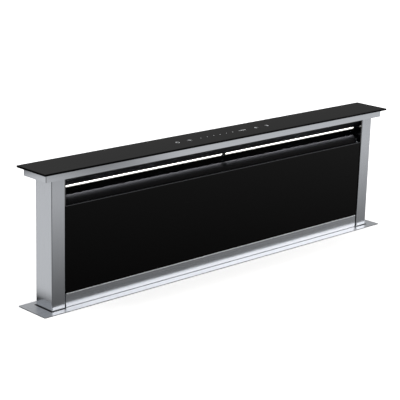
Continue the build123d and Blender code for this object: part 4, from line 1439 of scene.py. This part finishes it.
@dataclass
class Studio:
    """The pale floor with its cut-out and its painted shade in gloss, the surrounding light and one
    softbox.

    Attributes:
        floor_half_mm: Half the floor's side.
        cut_out_mm: The worktop's cut-out, which the chassis hangs through.
        paper_tone: How pale the floor is for the light that it throws on the object.
        seen_tone: How pale it is to the camera, so that all but its shadows is white.
        near_shade_tone: The floor's painted tone in gloss right in front of the object's middle, kept
            dark there as painted shade.
        tone_per_m_right: How the tone rises to the right.
        tone_per_m_front: How it rises to the front.
        least_tone: Where it stops falling.
        far_tone: Where it stops rising.
        turn_mm: From where to where, along Y, the front's tone gives way to the back's.
        back_tone: The floor in gloss behind the object.
        shade_tone: The same beside the flange, painted darker as shade.
        shade_mm: From where to where, off the middle, the painted shade runs out.
        contact_shadow_mm: The same for the painted contact shadow, a dark line right at the flange's
            edge.
        contact_shadow_share: How much of the tone is left in it.
        back_shade_spot_mm: The middle of a spot of painted shade on the floor at the back left.
        back_shade_spot_reach_mm: From where to where, off its middle, the spot runs out.
        back_shade_spot_share: How much of the tone is left in it.
        front_shade_spot_mm: The middle of a spot of painted shade on the floor at the front.
        front_shade_spot_reach_mm: From where to where, off its middle, that spot runs out.
        front_shade_spot_share: How much of the tone is left in it.
        far_shade_mm: From where to where, far out at the front, the floor is painted darker, as painted
            shade.
        far_shade_share: How much of the tone is left beyond.
        flag_shade_mm: From where to where, on the left, the front of the floor is painted dark, as
            painted shade.
        flag_shade_share: How much of the tone is left there.
        low_tone: The room behind the object, near the horizon.
        low_right: From where to where it turns darker, as the share of X in the direction.
        low_right_share: How much of it is left there.
        low_rise: From where to where it ends above, as the share of Z in the direction.
        middle_tone: The room above that.
        middle_rise: From where to where that ends.
        back_way: The level direction of the room behind, as shares of X and Y.
        back_turn: From where to where, as the share of that direction, it begins.
        open_tone: The rest of the room.
        backdrop_tone: The room as the camera sees it, past white.
        softbox_tone: The softbox's radiance, where 1 is white.
        softbox_colour: Its sRGB colour.
        softbox_mm: Its width and height.
        softbox_place_mm: Where it stands.
        softbox_aim_mm: The point that it faces.
    """

    floor_half_mm: float = 9000.0
    cut_out_mm: tuple[float, float] = (1188.0, 90.0)
    paper_tone: float = 0.5
    seen_tone: float = 1.75
    near_shade_tone: float = 0.175
    tone_per_m_right: float = 0.118
    tone_per_m_front: float = 0.53
    least_tone: float = 0.08
    far_tone: float = 0.74
    turn_mm: tuple[float, float] = (-30.0, 30.0)
    back_tone: float = 0.79
    shade_tone: float = 0.43
    shade_mm: tuple[float, float] = (615.0, 652.0)
    contact_shadow_mm: tuple[float, float] = (604.0, 614.0)
    contact_shadow_share: float = 0.12
    back_shade_spot_mm: tuple[float, float] = (-1370.0, 1145.0)
    back_shade_spot_reach_mm: tuple[float, float] = (0.0, 210.0)
    back_shade_spot_share: float = 0.1
    front_shade_spot_mm: tuple[float, float] = (400.0, -1120.0)
    front_shade_spot_reach_mm: tuple[float, float] = (0.0, 400.0)
    front_shade_spot_share: float = 0.45
    far_shade_mm: tuple[float, float] = (-1140.0, -1050.0)
    far_shade_share: float = 0.6
    flag_shade_mm: tuple[float, float] = (-780.0, -600.0)
    flag_shade_share: float = 0.2
    low_tone: float = 0.46
    low_right: tuple[float, float] = (0.52, 0.78)
    low_right_share: float = 0.6
    low_rise: tuple[float, float] = (0.245, 0.29)
    middle_tone: float = 0.68
    middle_rise: tuple[float, float] = (0.4, 0.75)
    back_way: tuple[float, float] = (0.2, 0.98)
    back_turn: tuple[float, float] = (0.0, 0.6)
    open_tone: float = 1.0
    backdrop_tone: float = 1.3
    softbox_tone: float = 2.4
    softbox_colour: str = "#FFFBF6"
    softbox_mm: tuple[float, float] = (2600.0, 1700.0)
    softbox_place_mm: Point = (2700.0, -2800.0, 1400.0)
    softbox_aim_mm: Point = (0.0, 0.0, 150.0)

    def build(self) -> None:
        """Builds floor, surroundings and softbox."""
        self.floor()
        self.surroundings()
        self.softbox()
        scene = bpy.context.scene
        scene.view_settings.view_transform = "Standard"

    def floor(self) -> None:
        """A flat pale floor at the worktop's height, open where the chassis hangs."""
        mesh = bmesh.new()
        rims = []
        for half_x, half_y in (
            (self.floor_half_mm, self.floor_half_mm),
            (self.cut_out_mm[0] / 2, self.cut_out_mm[1] / 2),
        ):
            made = bmesh.ops.create_circle(
                mesh, segments=4, radius=math.sqrt(2), matrix=Matrix.Rotation(math.radians(45), 4, "Z")
            )
            bmesh.ops.scale(mesh, verts=made["verts"], vec=(half_x * MM, half_y * MM, 1.0))
            rims += [edge for edge in mesh.edges if edge.verts[0] in made["verts"]]
        bmesh.ops.bridge_loops(mesh, edges=rims)
        bmesh.ops.recalc_face_normals(mesh, faces=mesh.faces)
        data = bpy.data.meshes.new("studio_floor")
        mesh.to_mesh(data)
        mesh.free()
        data.materials.append(self.floor_material())
        floor = bpy.data.objects.new("studio_floor", data)
        bpy.context.scene.collection.objects.link(floor)

    def floor_material(self) -> bpy.types.Material:
        """White to the camera apart from shadows, and in gloss a painted tone by place, with painted
        shade near the object.

        Returns:
            The floor's material.
        """
        material = bpy.data.materials.new("studio_paper_painted_gloss_shade")
        material.use_nodes = True
        tree = material.node_tree
        tree.nodes.clear()
        rays = add_node(tree, "LightPath")
        gloss = add_node(tree, "Emission", links={"Strength": self.painted_gloss_tone(tree)})
        paper, bright = (
            add_node(tree, "BsdfDiffuse", values={"Color": (tone, tone, tone, 1.0)})
            for tone in (self.paper_tone, self.seen_tone)
        )
        seen = add_node(
            tree, "MixShader",
            links={0: rays.outputs["Is Camera Ray"], 1: paper.outputs["BSDF"], 2: bright.outputs["BSDF"]},
        )
        surface = add_node(
            tree, "MixShader",
            links={
                0: rays.outputs["Is Glossy Ray"], 1: seen.outputs["Shader"], 2: gloss.outputs["Emission"],
            },
        )
        add_node(tree, "OutputMaterial", links={"Surface": surface.outputs["Shader"]})
        return material

    def painted_gloss_tone(self, tree: bpy.types.NodeTree) -> bpy.types.NodeSocket:
        """The floor's painted tone as the steel mirrors it, by place, with painted shade near the object,
        beside the flange and in spots.

        Args:
            tree: The floor's node tree.

        Returns:
            The socket that holds the tone.
        """
        place = add_node(tree, "TexCoord").outputs["Object"]
        axes = add_node(tree, "SeparateXYZ", links={"Vector": place})
        # painted shade: the floor's gloss tone is darkest near the object and rises away from it
        slope = add_node(
            tree, "VectorMath", settings={"operation": "DOT_PRODUCT"},
            values={1: (self.tone_per_m_right, -self.tone_per_m_front, 0.0)}, links={0: place},
        )
        rising = add_node(
            tree, "Math", settings={"operation": "ADD"}, values={1: self.near_shade_tone},
            links={0: slope.outputs["Value"]},
        )
        held = add_node(
            tree, "Clamp", values={"Min": self.least_tone, "Max": self.far_tone},
            links={"Value": rising.outputs["Value"]},
        )
        # painted shade: two dark spots, a dark patch at the left front and a darker far front
        shade_spots = [
            self.spot(tree, place, *kind) for kind in (
                (self.front_shade_spot_mm, self.front_shade_spot_reach_mm, self.front_shade_spot_share),
                (self.back_shade_spot_mm, self.back_shade_spot_reach_mm, self.back_shade_spot_share),
            )
        ]
        flag_shade = ramp(tree, axes.outputs["X"], self.flag_shade_mm, (self.flag_shade_share, 1.0))
        end = ramp(tree, axes.outputs["Y"], self.far_shade_mm, (self.far_shade_share, 1.0))
        front = held.outputs["Result"]
        for share in (shade_spots[0], flag_shade, end):
            front = add_node(
                tree, "Math", settings={"operation": "MULTIPLY"}, links={0: front, 1: share}
            ).outputs["Value"]
        off_middle = add_node(
            tree, "Math", settings={"operation": "ABSOLUTE"}, links={0: axes.outputs["X"]}
        )
        # painted shadow beside the flange, and a painted contact shadow right at its edge
        back = ramp(
            tree, off_middle.outputs["Value"], self.shade_mm, (self.shade_tone, self.back_tone)
        )
        contact_shadow = ramp(tree, off_middle.outputs["Value"], self.contact_shadow_mm, (self.contact_shadow_share, 1.0))
        for share in (shade_spots[1], contact_shadow):
            back = add_node(
                tree, "Math", settings={"operation": "MULTIPLY"}, links={0: back, 1: share}
            ).outputs["Value"]
        behind = ramp(tree, axes.outputs["Y"], self.turn_mm, (0.0, 1.0))
        tone = add_node(tree, "Mix", links={0: behind, 2: front, 3: back})
        return tone.outputs[0]

    def spot(
        self, tree: bpy.types.NodeTree, place: bpy.types.NodeSocket, middle_mm: Sequence[float],
        reach_mm: Sequence[float], share: float,
    ) -> bpy.types.NodeSocket:
        """A round spot of painted shade on the floor.

        Args:
            tree: The floor's node tree.
            place: The floor's coordinates.
            middle_mm: The spot's middle, along X and Y.
            reach_mm: From where to where, off its middle, it runs out.
            share: How much of the tone is left in it.

        Returns:
            The socket that holds the share of the tone that is left.
        """
        off = add_node(
            tree, "VectorMath", settings={"operation": "DISTANCE"},
            values={1: (middle_mm[0] * MM, middle_mm[1] * MM, 0.0)}, links={0: place},
        )
        return ramp(tree, off.outputs["Value"], reach_mm, (share, 1.0))

    def surroundings(self) -> None:
        """White to the camera, and to the rest a pale room, darker low at the back right."""
        world = bpy.data.worlds.new("studio")
        bpy.context.scene.world = world
        world.use_nodes = True
        tree = world.node_tree
        tree.nodes.clear()
        rays = add_node(tree, "LightPath")
        way = add_node(tree, "TexCoord").outputs["Generated"]
        axes = add_node(tree, "SeparateXYZ", links={"Vector": way})
        to_back = add_node(
            tree, "VectorMath", settings={"operation": "DOT_PRODUCT"},
            values={1: (*self.back_way, 0.0)}, links={0: way},
        )
        low = share_ramp(
            tree, axes.outputs["X"], self.low_right, (self.low_tone, self.low_tone * self.low_right_share)
        )
        over_low = share_ramp(tree, axes.outputs["Z"], self.low_rise, (0.0, 1.0))
        middle = add_node(tree, "Mix", values={3: self.middle_tone}, links={0: over_low, 2: low})
        over_middle = share_ramp(tree, axes.outputs["Z"], self.middle_rise, (0.0, 1.0))
        back = add_node(
            tree, "Mix", values={3: self.open_tone}, links={0: over_middle, 2: middle.outputs[0]}
        )
        turned = share_ramp(tree, to_back.outputs["Value"], self.back_turn, (0.0, 1.0))
        tone = add_node(
            tree, "Mix", values={2: self.open_tone}, links={0: turned, 3: back.outputs[0]}
        )
        seen = add_node(
            tree, "Mix", values={3: self.backdrop_tone},
            links={0: rays.outputs["Is Camera Ray"], 2: tone.outputs[0]},
        )
        light = add_node(tree, "Background", links={"Strength": seen.outputs[0]})
        add_node(tree, "OutputWorld", links={"Surface": light.outputs["Background"]})

    def softbox(self) -> None:
        """One large lamp at the front right."""
        width, height = (side * MM for side in self.softbox_mm)
        data = bpy.data.lights.new("softbox", "AREA")
        data.shape = "RECTANGLE"
        data.size, data.size_y = width, height
        data.energy = self.softbox_tone * math.pi * width * height
        data.color = linear(self.softbox_colour)[:3]
        lamp = bpy.data.objects.new("softbox", data)
        place = Vector(self.softbox_place_mm) * MM
        aim = Vector(self.softbox_aim_mm) * MM - place
        lamp.matrix_world = Matrix.Translation(place) @ aim.to_track_quat("-Z", "Y").to_matrix().to_4x4()
        bpy.context.scene.collection.objects.link(lamp)


def corners(box: Iterable[Iterable[float]]) -> list[list[float]]:
    """A box's two corners as plain lists of numbers."""
    return [[float(value) for value in corner] for corner in box]


def main() -> None:
    """Loads the frame, finishes each sub-assembly, and sets the studio and the camera."""
    logging.basicConfig(level=logging.INFO, format="%(name)s: %(message)s")
    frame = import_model()
    shop = PaintShop()
    for kind in (Head, Tower, Slot, FilterDoor, Lift, Chassis):
        group = kind(frame["nodes"], shop)
        group.finish()
        LOG.info("%s finished with %d new pieces", kind.__name__, len(group.pieces))
        for piece in group.pieces:
            LOG.info("%s has %d faces", piece.name, len(piece.data.polygons))
    Studio().build()
    Viewpoint().build()


if __name__ == "__main__":
    main()
